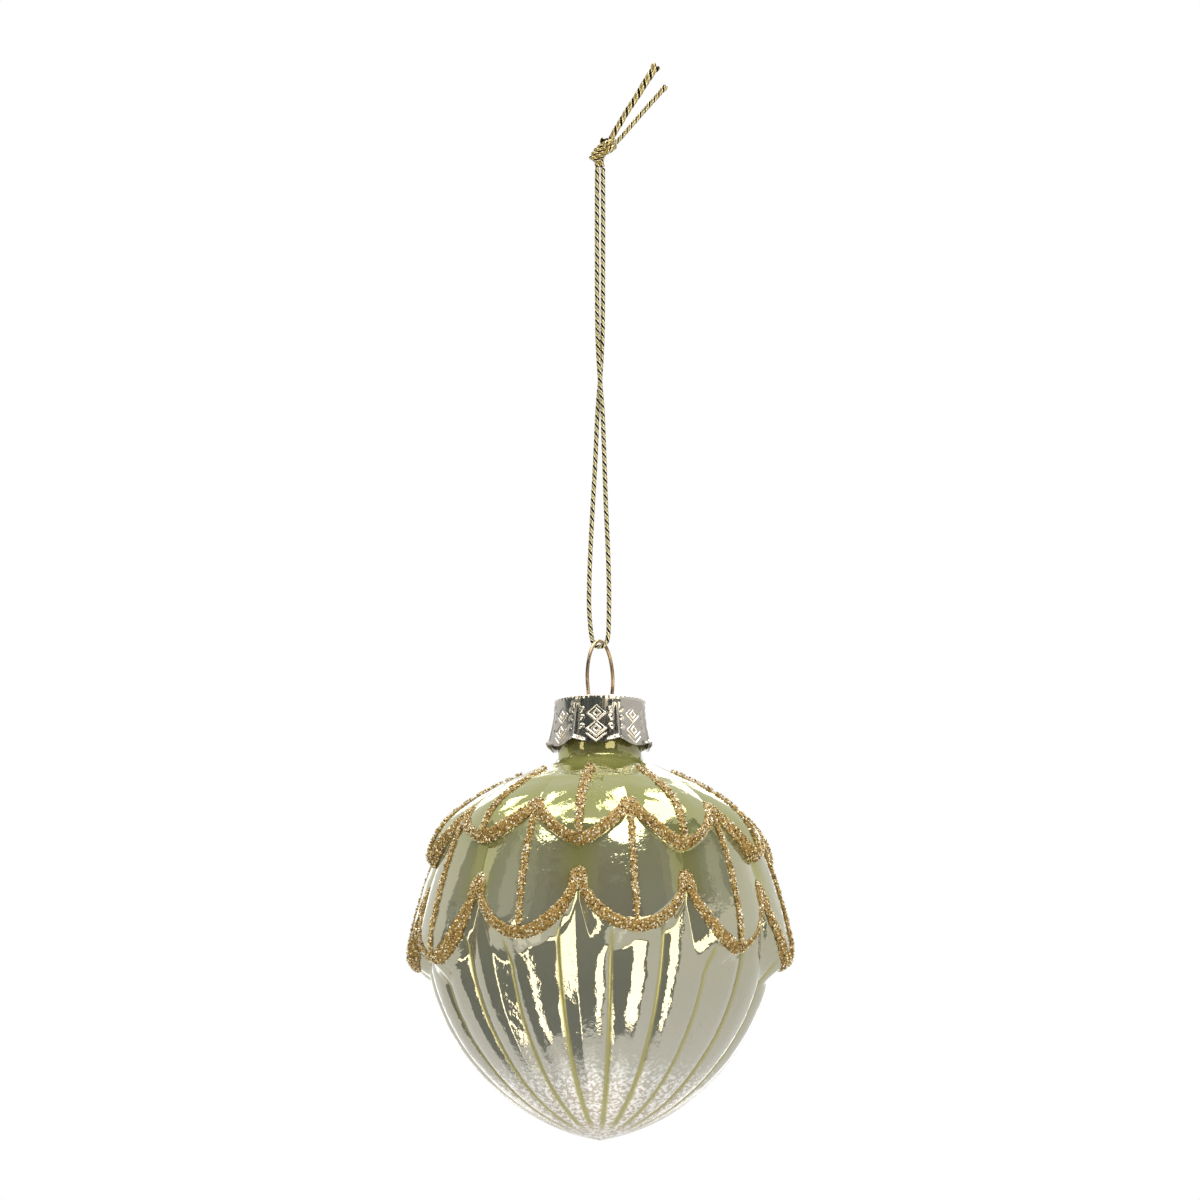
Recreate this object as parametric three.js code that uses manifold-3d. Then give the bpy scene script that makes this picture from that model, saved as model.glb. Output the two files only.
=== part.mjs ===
// Hanging glass ornament shaped like a pine cone: a blown glass body with two tiers of petals and a
// fluted cone below, lines of gold glitter, a stamped metal cap, a spring wire hanger and a cord.
// Millimetres, +Z up. The origin is the point where the cord hangs from a hook, just under its knot.
import * as THREE from 'three';
import { mergeVertices } from 'three/addons/utils/BufferGeometryUtils.js';
import Module from 'manifold-3d';

const wasm = await Module();
wasm.setup();

// Cord and its knot
const cordDrop = 100.5;           // hook to the middle of the cord in its lowest bend
const cordDiameter = 1.0;
const bendRadius = 2.0;           // of the cord's middle where it turns under the wire
const knotWidth = 5.0;
const knotHeight = 5.8;
const longTailDiameter = 1.3;     // its end has started to open
const shortTailDiameter = 1.05;

// Wire hanger
const wireDiameter = 0.75;
const loopWidth = 8.94;           // between the middles of the two legs
const loopRise = 12.5;            // cap to the middle of the wire at the top of the loop
const loopWidestRise = 4.7;       // cap to the widest place of the loop
const legSpacing = 7.9;           // between the middles of the legs in the cap
const legLength = 14.2;           // below the top of the cap
const hangerTurn = 54;            // degrees from the front of the ornament

// Cap
const capSheet = 0.35;
const capHeight = 9.2;            // to the corners between the scallops
const capScallopDrop = 1.1;       // scallop points below those corners
const capFlare = 1.5;             // skirt edge out from the top of the skirt
const capPanelDip = 0.55;         // panel middles in from the creases, at the edge
const capPanels = 7;
const capTurn = 20.9;             // degrees from the front to the first crease
const capRollRadius = 0.45;       // of the rolled upper edge
const capRollProud = 0.1;         // rolled edge out from the top of the skirt

// Glass. Heights are measured up from the tip, chained from one feature to the next.
const lowerTipHeight = 36.9;      // tip to the points of the lower petals
const lowerScallopRise = 11.4;    // petal points to the notches between them
const tierSpacing = 20.4;         // points of the lower petals to points of the upper ones
const upperScallopRise = 7.5;
const upperTierHeight = 19.6;     // points of the upper petals to the top of the shoulder
const neckFootHeight = 4.4;       // shoulder to the straight part of the neck
const neckLength = 9.45;          // straight part, up to the rim
const glassWall = 0.9;
const fluteRadius = 36.0;
const lowerPetalRadius = 39.5;
const lowerPetalNarrowing = 8.4;  // from its widest place up to the notches of the upper petals
const upperPetalInset = 3.6;      // widest place of the upper petals in from that of the lower ones
const shoulderRadius = 13.4;
const neckRadius = 8.6;
const petalCount = 10;
const flutesPerPetal = 2;
const petalTurn = 11;             // degrees from the front to a lower petal's point
const fluteTurn = 3.8;            // degrees from the front to a groove between flutes
const fluteDepth = 1.1;
const lowerPetalDome = 1.3;       // petal edges in from the petal's middle
const upperPetalDome = 1.3;
const lowerLipBelow = 3.2;        // how far the lip's slope runs below and above its edge
const lowerLipAbove = 1.5;
const upperLipBelow = 2.0;
const upperLipAbove = 1.3;

// The petals' points are uneven: how far each lies above the others' height, from the front one round.
const lowerPointLifts = [2.1, -0.7, -1.1, 0, 0, 0, 0, 0, -1.7, 1.1];
const upperPointLifts = [-0.3, -0.5, 0, 0, 0, 0, 0, -0.4, 1.9, 0.1];

// Glitter lines
const bandWidth = 2.3;
const bandPeakWidth = 3.3;        // at the notches, where the glue pooled
const glitterHeight = 0.6;
const upperVeinWidths = [2.2, 1.4];   // at the upper and the lower end
const lowerVeinWidths = [1.5, 1.2];
const upperVeinStart = 1.3;       // below the top of the shoulder

// Clearances
const linkGap = 0.3;              // cord to wire
const seatGap = 0.3;              // cap on the rim, cord on the knot
const neckClearance = 0.35;       // cap around the neck
const legClearance = 0.3;         // wire legs to the bore
const holeClearance = 0.5;        // wire in the holes of the cap
const glitterGap = 0.3;           // under the glitter lines

const columnsPerPetal = 10;
const columns = petalCount * columnsPerPetal;
const cordSides = 8;

const wireRadius = wireDiameter / 2;
const archHeight = -cordDrop + cordDiameter / 2 + linkGap + wireRadius;
const capTopHeight = archHeight - loopRise;
const glassHeight = lowerTipHeight + tierSpacing + upperTierHeight + neckFootHeight + neckLength;
const rimHeight = capTopHeight - capSheet - seatGap;
const glassTipHeight = rimHeight - glassHeight;
const boreRadius = neckRadius - glassWall;
const upperTipHeight = lowerTipHeight + tierSpacing;
const shoulderHeight = upperTipHeight + upperTierHeight;
const upperPetalRadius = lowerPetalRadius - upperPetalInset;
const neckFootTop = shoulderHeight + neckFootHeight;
const capRadius = neckRadius + neckClearance + capSheet;

// Colours from the glass down to the cord
const glassMaterial = new THREE.MeshStandardMaterial({ color: 0xa9ad84, roughness: 0.08, metalness: 0.9 });
const glitterMaterial = new THREE.MeshStandardMaterial({ color: 0xc89b4b, roughness: 0.45, metalness: 0.7 });
const capMaterial = new THREE.MeshStandardMaterial({ color: 0xbdb6a8, roughness: 0.25, metalness: 1.0 });
const wireMaterial = new THREE.MeshStandardMaterial({ color: 0xa89478, roughness: 0.3, metalness: 1.0 });
const cordMaterial = new THREE.MeshStandardMaterial({ color: 0xb59b3f, roughness: 0.5, metalness: 0.5 });

const rad = THREE.MathUtils.degToRad;
const lerp = THREE.MathUtils.lerp;
const smoothstep = THREE.MathUtils.smoothstep;

// Angles run from the front (-Y) towards +X, in degrees.
function polar(radius, degrees, height) {
  return new THREE.Vector3(radius * Math.sin(rad(degrees)), -radius * Math.cos(rad(degrees)), height);
}

// A curve of radius (x) over height (y), read at a height by halving the interval.
function radiusAt(curve, height) {
  if (height <= curve.getPoint(0).y) return curve.getPoint(0).x;
  if (height >= curve.getPoint(1).y) return curve.getPoint(1).x;
  let low = 0;
  let high = 1;
  for (let i = 0; i < 30; i++) {
    const middle = (low + high) / 2;
    if (curve.getPoint(middle).y < height) low = middle;
    else high = middle;
  }
  return curve.getPoint((low + high) / 2).x;
}

function bezier(...points) {
  return new THREE.CubicBezierCurve(...points.map(([x, y]) => new THREE.Vector2(x, y)));
}

const fluteTop = lowerTipHeight + 0.62 * lowerScallopRise;
const fluteCurve = bezier(
  [0, 0], [0.6 * fluteRadius, 0.1 * fluteTop],
  [1.005 * fluteRadius, 0.523 * fluteTop], [fluteRadius, fluteTop]);

const lowerBulgeHeight = lowerTipHeight + lowerLipBelow;
const upperNotchHeight = upperTipHeight + upperScallopRise;
const lowerPetalCurve = bezier(
  [lowerPetalRadius, lowerBulgeHeight],
  [lowerPetalRadius - 0.08 * lowerPetalNarrowing, lerp(lowerBulgeHeight, upperNotchHeight, 0.17)],
  [lowerPetalRadius - 0.5 * lowerPetalNarrowing, lerp(lowerBulgeHeight, upperNotchHeight, 0.745)],
  [lowerPetalRadius - lowerPetalNarrowing, upperNotchHeight]);

const upperPetalCurve = bezier(
  [upperPetalRadius, upperTipHeight - 0.5 * upperLipBelow],
  [0.992 * upperPetalRadius, lerp(upperTipHeight, shoulderHeight, 0.485)],
  [lerp(shoulderRadius, upperPetalRadius, 0.47), lerp(upperTipHeight, shoulderHeight, 0.74)],
  [shoulderRadius, shoulderHeight]);

const neckFootCurve = bezier(
  [shoulderRadius, shoulderHeight],
  [lerp(neckRadius, shoulderRadius, 0.42), lerp(shoulderHeight, neckFootTop, 0.3)],
  [1.03 * neckRadius, lerp(shoulderHeight, neckFootTop, 0.45)], [neckRadius, neckFootTop]);

// Angle from the middle of the nearest petal, as a share of half a petal: 0 at its point, 1 at its notch.
function petalShare(degrees, turn) {
  const pitch = 360 / petalCount;
  const share = (degrees - turn) / pitch;
  return 2 * Math.abs(share - Math.round(share));
}

const upperTurn = petalTurn + 180 / petalCount;

// A petal's own lift, full at its point and none at its notches.
function pointLift(degrees, turn, lifts) {
  const petal = Math.round((degrees - turn) / (360 / petalCount));
  const fade = (1 - petalShare(degrees, turn) ** 2) ** 2;
  return lifts[THREE.MathUtils.euclideanModulo(petal, petalCount)] * fade;
}

// Lower petals end in a round U with a peaked notch between them.
function lowerEdge(degrees) {
  const rise = lowerScallopRise * petalShare(degrees, petalTurn) ** 1.9;
  return lowerTipHeight + rise + pointLift(degrees, petalTurn, lowerPointLifts);
}

// Upper petals end in a shallower wave.
function upperEdge(degrees) {
  const share = petalShare(degrees, upperTurn);
  const rise = upperScallopRise * (0.5 * share ** 1.6 + 0.5 * smoothstep(share, 0, 1));
  return upperTipHeight + rise + pointLift(degrees, upperTurn, upperPointLifts);
}

// How much longer a distance square to a petal's edge is when it is measured upright instead.
function edgeStretch(share, rise, radius) {
  const halfPetal = (Math.PI * radius) / petalCount;
  const slope = (1.9 * rise * share) / halfPetal;
  return Math.sqrt(1 + slope ** 2) * (1 - 0.4 * smoothstep(share, 0.75, 1));
}

function lowerStretch(degrees) {
  return edgeStretch(petalShare(degrees, petalTurn), lowerScallopRise, lowerPetalRadius);
}

function upperStretch(degrees) {
  return edgeStretch(petalShare(degrees, upperTurn), upperScallopRise, upperPetalRadius);
}

// Ribs are gently round, with a narrow crease between them, and run out towards the tip.
function fluteDip(degrees, height) {
  const pitch = 360 / (petalCount * flutesPerPetal);
  const share = (degrees - fluteTurn) / pitch;
  const fromRib = 2 * Math.abs(share - Math.floor(share) - 0.5);
  return fluteDepth * fromRib ** 2.6 * smoothstep(height, 0, 0.35 * fluteTop);
}

// Outer radius of the glass at an angle and a height.
function glassRadius(degrees, height) {
  if (height >= shoulderHeight) return radiusAt(neckFootCurve, height);
  const lowerDome = lowerPetalDome * petalShare(degrees, petalTurn) ** 2;
  const upperFade = 1 - smoothstep(height, lerp(upperTipHeight, shoulderHeight, 0.35), shoulderHeight);
  const upperDome = upperPetalDome * petalShare(degrees, upperTurn) ** 2 * upperFade;
  const flutes = radiusAt(fluteCurve, height) - fluteDip(degrees, height);
  const lowerPetals = radiusAt(lowerPetalCurve, height) - lowerDome;
  const upperPetals = radiusAt(upperPetalCurve, height) - upperDome;
  const fromLower = (height - lowerEdge(degrees)) / lowerStretch(degrees);
  const fromUpper = (height - upperEdge(degrees)) / upperStretch(degrees);
  const lower = smoothstep(fromLower, -lowerLipBelow, lowerLipAbove);
  const upper = smoothstep(fromUpper, -upperLipBelow, upperLipAbove);
  return lerp(lerp(flutes, lowerPetals, lower), upperPetals, upper);
}

// A closed mesh from rings of points, with a fan to a point at each end where one is given.
function ringMesh(rings, firstPoint, lastPoint) {
  const count = rings[0].length;
  const positions = rings.flat().flatMap((p) => [p.x, p.y, p.z]);
  const triangles = [];
  for (let r = 0; r + 1 < rings.length; r++) {
    for (let c = 0; c < count; c++) {
      const next = (c + 1) % count;
      const a = r * count + c;
      const b = r * count + next;
      triangles.push(a, b, b + count, a, b + count, a + count);
    }
  }
  const last = (rings.length - 1) * count;
  const ends = rings.length * count;
  positions.push(firstPoint.x, firstPoint.y, firstPoint.z, lastPoint.x, lastPoint.y, lastPoint.z);
  for (let c = 0; c < count; c++) {
    const next = (c + 1) % count;
    triangles.push(ends, next, c, ends + 1, last + c, last + next);
  }
  return indexedGeometry(positions, triangles);
}

// A closed loop of sections: each ring joins the next, and the last joins the first.
function loopMesh(sections) {
  const count = sections[0].length;
  const positions = sections.flat().flatMap((p) => [p.x, p.y, p.z]);
  const triangles = [];
  for (let s = 0; s < sections.length; s++) {
    const after = (s + 1) % sections.length;
    for (let c = 0; c < count; c++) {
      const next = (c + 1) % count;
      const a = s * count + c;
      const b = s * count + next;
      const d = after * count + c;
      const e = after * count + next;
      triangles.push(a, b, e, a, e, d);
    }
  }
  return indexedGeometry(positions, triangles);
}

function indexedGeometry(positions, triangles) {
  const geometry = new THREE.BufferGeometry();
  geometry.setAttribute('position', new THREE.Float32BufferAttribute(positions, 3));
  geometry.setIndex(triangles);
  return geometry;
}

function toSolid(geometry) {
  const bare = geometry.clone();
  bare.deleteAttribute('normal');
  bare.deleteAttribute('uv');
  const merged = mergeVertices(bare, 1e-4);
  return new wasm.Manifold(new wasm.Mesh({
    numProp: 3,
    vertProperties: new Float32Array(merged.attributes.position.array),
    triVerts: new Uint32Array(merged.index.array),
  }));
}

function toGeometry(solid) {
  const mesh = solid.getMesh();
  return indexedGeometry(Array.from(mesh.vertProperties), Array.from(mesh.triVerts));
}

function named(name, geometry, material) {
  const mesh = new THREE.Mesh(geometry, material.clone());
  mesh.name = name;
  return mesh;
}

// Rings of the outer surface. Between two scalloped edges the rings go over from one to the other.
function glassRings() {
  const level = (height) => () => height;
  const lowerStart = (a) => lowerEdge(a) - lowerLipBelow * lowerStretch(a);
  const lowerEnd = (a) => lowerEdge(a) + lowerLipAbove * lowerStretch(a);
  const upperStart = (a) => upperEdge(a) - upperLipBelow * upperStretch(a);
  const upperEnd = (a) => upperEdge(a) + upperLipAbove * upperStretch(a);
  const bands = [
    { from: level(0), to: lowerStart, steps: 10, ease: 1.75, skipFirst: true },
    { from: lowerStart, to: lowerEnd, steps: 5, ease: 1 },
    { from: lowerEnd, to: upperStart, steps: 3, ease: 1 },
    { from: upperStart, to: upperEnd, steps: 4, ease: 1 },
    { from: upperEnd, to: level(shoulderHeight), steps: 5, ease: 0.75 },
    { from: level(shoulderHeight), to: level(neckFootTop), steps: 3, ease: 1 },
    { from: level(neckFootTop), to: level(glassHeight), steps: 1, ease: 1, last: true },
  ];
  const rings = [];
  for (const band of bands) {
    const first = band.skipFirst ? 1 : 0;
    const end = band.last ? band.steps : band.steps - 1;
    for (let i = first; i <= end; i++) {
      const share = (i / band.steps) ** band.ease;
      const ring = [];
      for (let c = 0; c < columns; c++) {
        const degrees = petalTurn + (c * 360) / columns;
        const height = lerp(band.from(degrees), band.to(degrees), share);
        ring.push(polar(glassRadius(degrees, height), degrees, height));
      }
      rings.push(ring);
    }
  }
  return rings;
}

// The hollow keeps the wall's thickness inside the deepest groove or notch at its height.
function cavityRadius(height) {
  let least = Infinity;
  for (let c = 0; c < columns; c++) {
    const degrees = petalTurn + (c * 360) / columns;
    least = Math.min(least, glassRadius(degrees, Math.max(height - glassWall, 0)));
    least = Math.min(least, glassRadius(degrees, Math.min(height + glassWall, shoulderHeight)));
  }
  return Math.max(least - glassWall, boreRadius);
}

function glassCavity() {
  const bottom = 1.8 * glassWall;
  const boreFoot = shoulderHeight - glassWall;
  const steps = 13;
  const profile = [new THREE.Vector2(0, bottom)];
  for (let i = 1; i <= steps; i++) {
    const share = 0.5 - 0.5 * Math.cos((Math.PI * i) / steps);
    const height = lerp(bottom, boreFoot, share);
    profile.push(new THREE.Vector2(i === steps ? boreRadius : cavityRadius(height), height));
  }
  const above = glassHeight + glassWall;
  profile.push(new THREE.Vector2(boreRadius, above), new THREE.Vector2(0, above));
  const lathe = new THREE.LatheGeometry(profile, 36);
  lathe.rotateX(Math.PI / 2);
  return lathe;
}

function glassBody() {
  const outer = ringMesh(glassRings(), polar(0, 0, 0), polar(0, 0, glassHeight));
  const solid = toSolid(outer).subtract(toSolid(glassCavity()));
  return named('glass_body', toGeometry(solid), glassMaterial);
}

// A point a gap away from the glass.
function onGlass(degrees, height, gap) {
  return polar(glassRadius(degrees, height) + gap, degrees, height);
}

// Glitter glue squeezed along a petal edge: a flat bead, wider where it pooled at the notches.
function glitterBand(name, edge, stretch, turn) {
  const sections = [];
  const crown = glitterGap + glitterHeight;
  for (let c = 0; c < columns; c++) {
    const degrees = turn + (c * 360) / columns;
    const pool = petalShare(degrees, turn) ** 6;
    const half = (lerp(bandWidth, bandPeakWidth, pool) / 2) * stretch(degrees);
    const at = (side, gap) => onGlass(degrees, edge(degrees) + side * half, gap);
    sections.push([
      at(-1, glitterGap), at(0, glitterGap), at(1, glitterGap),
      at(0.75, lerp(glitterGap, crown, 0.75)), at(0, crown), at(-0.75, lerp(glitterGap, crown, 0.75)),
    ]);
  }
  return named(name, loopMesh(sections), glitterMaterial);
}

// A straight glitter line down the middle of a petal, drawn from its upper end.
function glitterVein(name, degrees, top, bottom, widths) {
  const steps = 7;
  const crown = glitterGap + glitterHeight;
  const rings = [];
  for (let i = 0; i <= steps; i++) {
    const share = i / steps;
    const height = lerp(top, bottom, share);
    const half = lerp(widths[0], widths[1], share) / 2;
    const spread = THREE.MathUtils.radToDeg(half / glassRadius(degrees, height));
    rings.push([
      onGlass(degrees - spread, height, glitterGap), onGlass(degrees + spread, height, glitterGap),
      onGlass(degrees + 0.7 * spread, height, lerp(glitterGap, crown, 0.7)),
      onGlass(degrees, height, crown),
      onGlass(degrees - 0.7 * spread, height, lerp(glitterGap, crown, 0.7)),
    ]);
  }
  const middle = (ring) => ring[0].clone().lerp(ring[3], 0.5);
  return named(name, ringMesh(rings, middle(rings[0]), middle(rings[steps])), glitterMaterial);
}

function glitterVeins() {
  const veins = [];
  const pitch = 360 / petalCount;
  const clear = bandWidth / 2 + seatGap;
  const clearAtNotch = (bandPeakWidth / 2) * upperStretch(petalTurn) + seatGap;
  for (let i = 0; i < petalCount; i++) {
    const upperAngle = upperTurn + i * pitch;
    veins.push(glitterVein(`upper_glitter_vein_${i + 1}`, upperAngle,
      shoulderHeight - upperVeinStart, upperEdge(upperAngle) + clear, upperVeinWidths));
    const lowerAngle = petalTurn + i * pitch;
    veins.push(glitterVein(`lower_glitter_vein_${i + 1}`, lowerAngle,
      upperNotchHeight - clearAtNotch, lowerEdge(lowerAngle) + clear, lowerVeinWidths));
  }
  return veins;
}

// Radius of the cap's outer face at a share of the way down its skirt.
function capSkirtRadius(degrees, down) {
  const pitch = 360 / capPanels;
  const share = (degrees - capTurn) / pitch;
  const fromMiddle = 2 * Math.abs(share - Math.floor(share) - 0.5);
  return capRadius + capFlare * down ** 1.5 - capPanelDip * (1 - fromMiddle ** 2) * down;
}

function capSkirtBottom(degrees) {
  const pitch = 360 / capPanels;
  const share = (degrees - capTurn) / pitch;
  const fromMiddle = 2 * Math.abs(share - Math.floor(share) - 0.5);
  return -capHeight - capScallopDrop * (1 - fromMiddle ** 1.5);
}

// The stamped cap, with its top at height 0: a disc, a rolled edge and a skirt of creased panels.
function capShell() {
  const columnsPerPanel = 5;
  const count = capPanels * columnsPerPanel;
  const ring = (pointAt) => {
    const points = [];
    for (let c = 0; c < count; c++) points.push(pointAt(capTurn + (c * 360) / count));
    return points;
  };
  const skirt = (down, inset) => ring((degrees) => {
    const height = lerp(-2 * capRollRadius, capSkirtBottom(degrees), down);
    return polar(capSkirtRadius(degrees, down) - inset, degrees, height);
  });
  const rings = [];
  rings.push(ring((a) => polar(capRadius - 2.5 * capRollRadius, a, 0)));
  for (const turn of [0, 45, 90]) {
    const out = capRadius - capRollRadius + (capRollRadius + capRollProud) * Math.sin(rad(turn));
    const drop = -capRollRadius * (1 - Math.cos(rad(turn)));
    rings.push(ring((a) => polar(out, a, drop)));
  }
  for (const down of [0, 0.35, 0.7, 1]) rings.push(skirt(down, 0));
  for (const down of [1, 0.6, 0.2]) rings.push(skirt(down, capSheet));
  rings.push(ring((a) => polar(capRadius - capSheet, a, -2 * capRollRadius)));
  rings.push(ring((a) => polar(capRadius - capSheet, a, -capSheet)));
  const reversed = rings.reverse();
  return ringMesh(reversed, polar(0, 0, -capSheet), polar(0, 0, 0));
}

function cap() {
  const holeRadius = wireRadius + holeClearance;
  let solid = toSolid(capShell());
  for (const side of [-1, 1]) {
    const hole = new THREE.CylinderGeometry(holeRadius, holeRadius, 4 * capSheet, 12);
    hole.rotateX(Math.PI / 2);
    const away = (side * legSpacing) / 2;
    hole.translate(away * Math.cos(rad(hangerTurn)), away * Math.sin(rad(hangerTurn)), -capSheet / 2);
    solid = solid.subtract(toSolid(hole));
  }
  const mesh = named('cap', toGeometry(solid), capMaterial);
  mesh.position.z = capTopHeight;
  return mesh;
}

// A round bar along a path, with straight sides between the path's steps.
function bar(path, diameter, sides, steps) {
  const outline = [];
  for (let i = 0; i < sides; i++) {
    const turn = ((i + 0.5) * 2 * Math.PI) / sides;
    outline.push(new THREE.Vector2((diameter / 2) * Math.cos(turn), (diameter / 2) * Math.sin(turn)));
  }
  const section = new THREE.Shape(outline);
  return new THREE.ExtrudeGeometry(section, { steps, extrudePath: path, bevelEnabled: false });
}

// One side of the wire from the top of the loop to the end of its leg, measured from the cap's top.
function wireSide(side) {
  const point = (across, height) => new THREE.Vector3(side * across, 0, height);
  const widest = loopWidth / 2;
  const through = legSpacing / 2;
  const spread = boreRadius - legClearance - wireRadius;
  const straight = -2 * capSheet;
  return [
    new THREE.CubicBezierCurve3(point(0, loopRise), point(0.54 * widest, loopRise),
      point(widest, lerp(loopWidestRise, loopRise, 0.51)), point(widest, loopWidestRise)),
    new THREE.CubicBezierCurve3(point(widest, loopWidestRise), point(widest, 0.55 * loopWidestRise),
      point(through, 0.3 * loopWidestRise), point(through, straight)),
    new THREE.CubicBezierCurve3(point(through, straight), point(through, -0.25 * legLength),
      point(spread, -0.6 * legLength), point(spread, -legLength)),
  ];
}

// The two sides as one path, from the end of one leg over the loop to the end of the other.
class WirePath extends THREE.Curve {
  constructor() {
    super();
    const reversed = wireSide(-1).reverse();
    this.parts = [...reversed, ...wireSide(1)];
    this.backwards = reversed.length;
  }

  getPoint(t, target = new THREE.Vector3()) {
    const scaled = Math.min(t * this.parts.length, this.parts.length - 1e-9);
    const index = Math.floor(scaled);
    const share = scaled - index;
    const inPart = index < this.backwards ? 1 - share : share;
    return target.copy(this.parts[index].getPoint(inPart));
  }
}

function hangerWire() {
  const mesh = named('hanger_wire', bar(new WirePath(), wireDiameter, 8, 48), wireMaterial);
  mesh.position.z = capTopHeight;
  mesh.rotation.z = rad(hangerTurn);
  return mesh;
}

// The cord's route from the knot down one strand, under the wire and up the other strand: how far
// each point lies to the side, how far behind, and its height. The strands cross half way down.
const strandDown = [
  [0.6, 0.0, -0.1], [0.62, 0.0, -5], [0.64, 0.02, -12], [0.62, 0.05, -20], [0.6, 0.15, -28],
  [0.48, 0.42, -36], [0.05, 0.66, -44], [-0.5, 0.5, -51], [-0.82, 0.5, -58], [-1.1, 0.72, -64],
  [-1.5, 1.02, -71], [-1.92, 1.36, -79], [-2.22, 1.6, -87], [-2.22, 1.6, -93],
];
const strandUp = [
  [1.84, -1.34, -93], [1.82, -1.32, -87], [1.56, -1.12, -79], [1.2, -0.86, -71], [0.98, -0.68, -64],
  [0.78, -0.5, -58], [0.5, -0.5, -51], [-0.05, -0.66, -44], [-0.48, -0.42, -36], [-0.6, -0.15, -28],
  [-0.62, -0.05, -20], [-0.64, -0.02, -12], [-0.62, 0.0, -5], [-0.6, 0.0, -0.1],
];

// Points of the bend under the wire, on a half circle across the wire's direction.
function bendPoints() {
  const points = [];
  for (const turn of [75, 45, 20, 0, -20, -45, -75]) {
    const across = bendRadius * Math.sin(rad(turn));
    const height = -cordDrop + bendRadius * (1 - Math.cos(rad(turn)));
    points.push([-across * Math.sin(rad(hangerTurn)), across * Math.cos(rad(hangerTurn)), height]);
  }
  return points;
}

// A smooth curve whose steps lie at its own points, so that a tight bend has more of them.
class RouteCurve extends THREE.CatmullRomCurve3 {
  getUtoTmapping(u) {
    return u;
  }
}

function route(points) {
  return new RouteCurve(points.map(([x, y, z]) => new THREE.Vector3(x, y, z)), false, 'centripetal');
}

function cordLoop() {
  const points = [...strandDown, ...bendPoints(), ...strandUp];
  const steps = 2 * (points.length - 1);
  return named('cord_loop', bar(route(points), cordDiameter, cordSides, steps), cordMaterial);
}

const longTailRoute = [
  [2.75, -0.3, 6.9], [4.0, -0.4, 9.0], [5.6, -0.6, 11.7], [7.6, -0.7, 14.8], [9.6, -0.8, 18.1],
  [11.6, -0.8, 21.2],
];
const shortTailRoute = [
  [3.75, 0.95, 5.9], [5.3, 1.2, 7.7], [7.4, 1.4, 10.2], [9.6, 1.5, 12.8], [11.7, 1.5, 15.2],
  [13.6, 1.5, 17.4],
];

function cordTail(name, points, diameter) {
  return named(name, bar(route(points), diameter, cordSides, points.length - 1), cordMaterial);
}

// The knot in the doubled cord: a wrap round two lobes, the lower one to the left.
function cordKnot() {
  const lobe = (width, deep, height, x, y, z) => {
    const ball = new THREE.SphereGeometry(0.5, 12, 8);
    ball.rotateX(Math.PI / 2);
    ball.scale(width, deep, height);
    ball.translate(x, y, z);
    return toSolid(ball);
  };
  const bottom = strandDown[0][2] + seatGap;
  const middle = bottom + knotHeight / 2;
  const depth = 0.7 * knotWidth;
  const lowerHeight = 0.8 * knotHeight;
  const upperHeight = 0.6 * knotHeight;
  const lower = lobe(0.72 * knotWidth, depth, lowerHeight, 0.02 * knotWidth, 0, bottom + lowerHeight / 2);
  const upper = lobe(0.66 * knotWidth, depth, upperHeight, 0.38 * knotWidth, 0, middle + 0.2 * knotHeight);
  const wrap = new THREE.TorusGeometry(0.3 * knotWidth, 0.18 * knotWidth, 8, 14);
  wrap.rotateX(rad(62));
  wrap.rotateY(rad(-38));
  wrap.translate(0.19 * knotWidth, 0, middle);
  return named('cord_knot', toGeometry(lower.add(upper).add(toSolid(wrap))), cordMaterial);
}

const glass = new THREE.Group();
glass.position.z = glassTipHeight;
glass.add(glassBody());
glass.add(glitterBand('lower_glitter_band', lowerEdge, lowerStretch, petalTurn));
glass.add(glitterBand('upper_glitter_band', upperEdge, upperStretch, upperTurn));
glass.add(...glitterVeins());

const ornament = new THREE.Group();
ornament.add(glass);
ornament.add(cap());
ornament.add(hangerWire());
ornament.add(cordLoop());
ornament.add(cordKnot());
ornament.add(cordTail('cord_tail_long', longTailRoute, longTailDiameter));
ornament.add(cordTail('cord_tail_short', shortTailRoute, shortTailDiameter));

export default ornament;
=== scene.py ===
# Blown glass ornament shaped like a pine cone, on a wire hanger and a gold cord.
# Numbers are millimetres unless they say otherwise, meshes are metres, and angles run from the front
# (-Y) towards +X in degrees.
import math
from functools import partial
import bpy
import numpy as np
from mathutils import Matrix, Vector


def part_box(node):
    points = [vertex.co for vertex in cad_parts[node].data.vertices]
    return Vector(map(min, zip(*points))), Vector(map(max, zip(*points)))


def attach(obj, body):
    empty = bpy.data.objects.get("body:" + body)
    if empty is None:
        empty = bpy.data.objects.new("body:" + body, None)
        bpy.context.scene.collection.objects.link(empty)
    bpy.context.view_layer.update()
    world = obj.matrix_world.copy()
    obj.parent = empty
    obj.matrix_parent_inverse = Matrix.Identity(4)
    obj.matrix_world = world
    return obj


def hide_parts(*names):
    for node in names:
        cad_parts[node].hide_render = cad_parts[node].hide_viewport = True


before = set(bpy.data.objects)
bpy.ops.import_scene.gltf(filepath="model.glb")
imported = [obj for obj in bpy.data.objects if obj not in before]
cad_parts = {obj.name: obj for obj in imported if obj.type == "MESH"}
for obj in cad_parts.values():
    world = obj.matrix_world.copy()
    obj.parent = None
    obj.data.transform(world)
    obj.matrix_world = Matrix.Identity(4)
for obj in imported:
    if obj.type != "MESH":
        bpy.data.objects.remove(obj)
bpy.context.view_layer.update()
mm = 0.001
rng = np.random.default_rng(41)
print("frame loaded")


def blend(a, b, share):
    return a + (b - a) * share


def smooth(value, low, high):
    # 0 below low, 1 above high, and an easy slope between them
    t = np.clip((value - low) / (high - low), 0, 1)
    return t * t * (3 - 2 * t)


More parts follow.
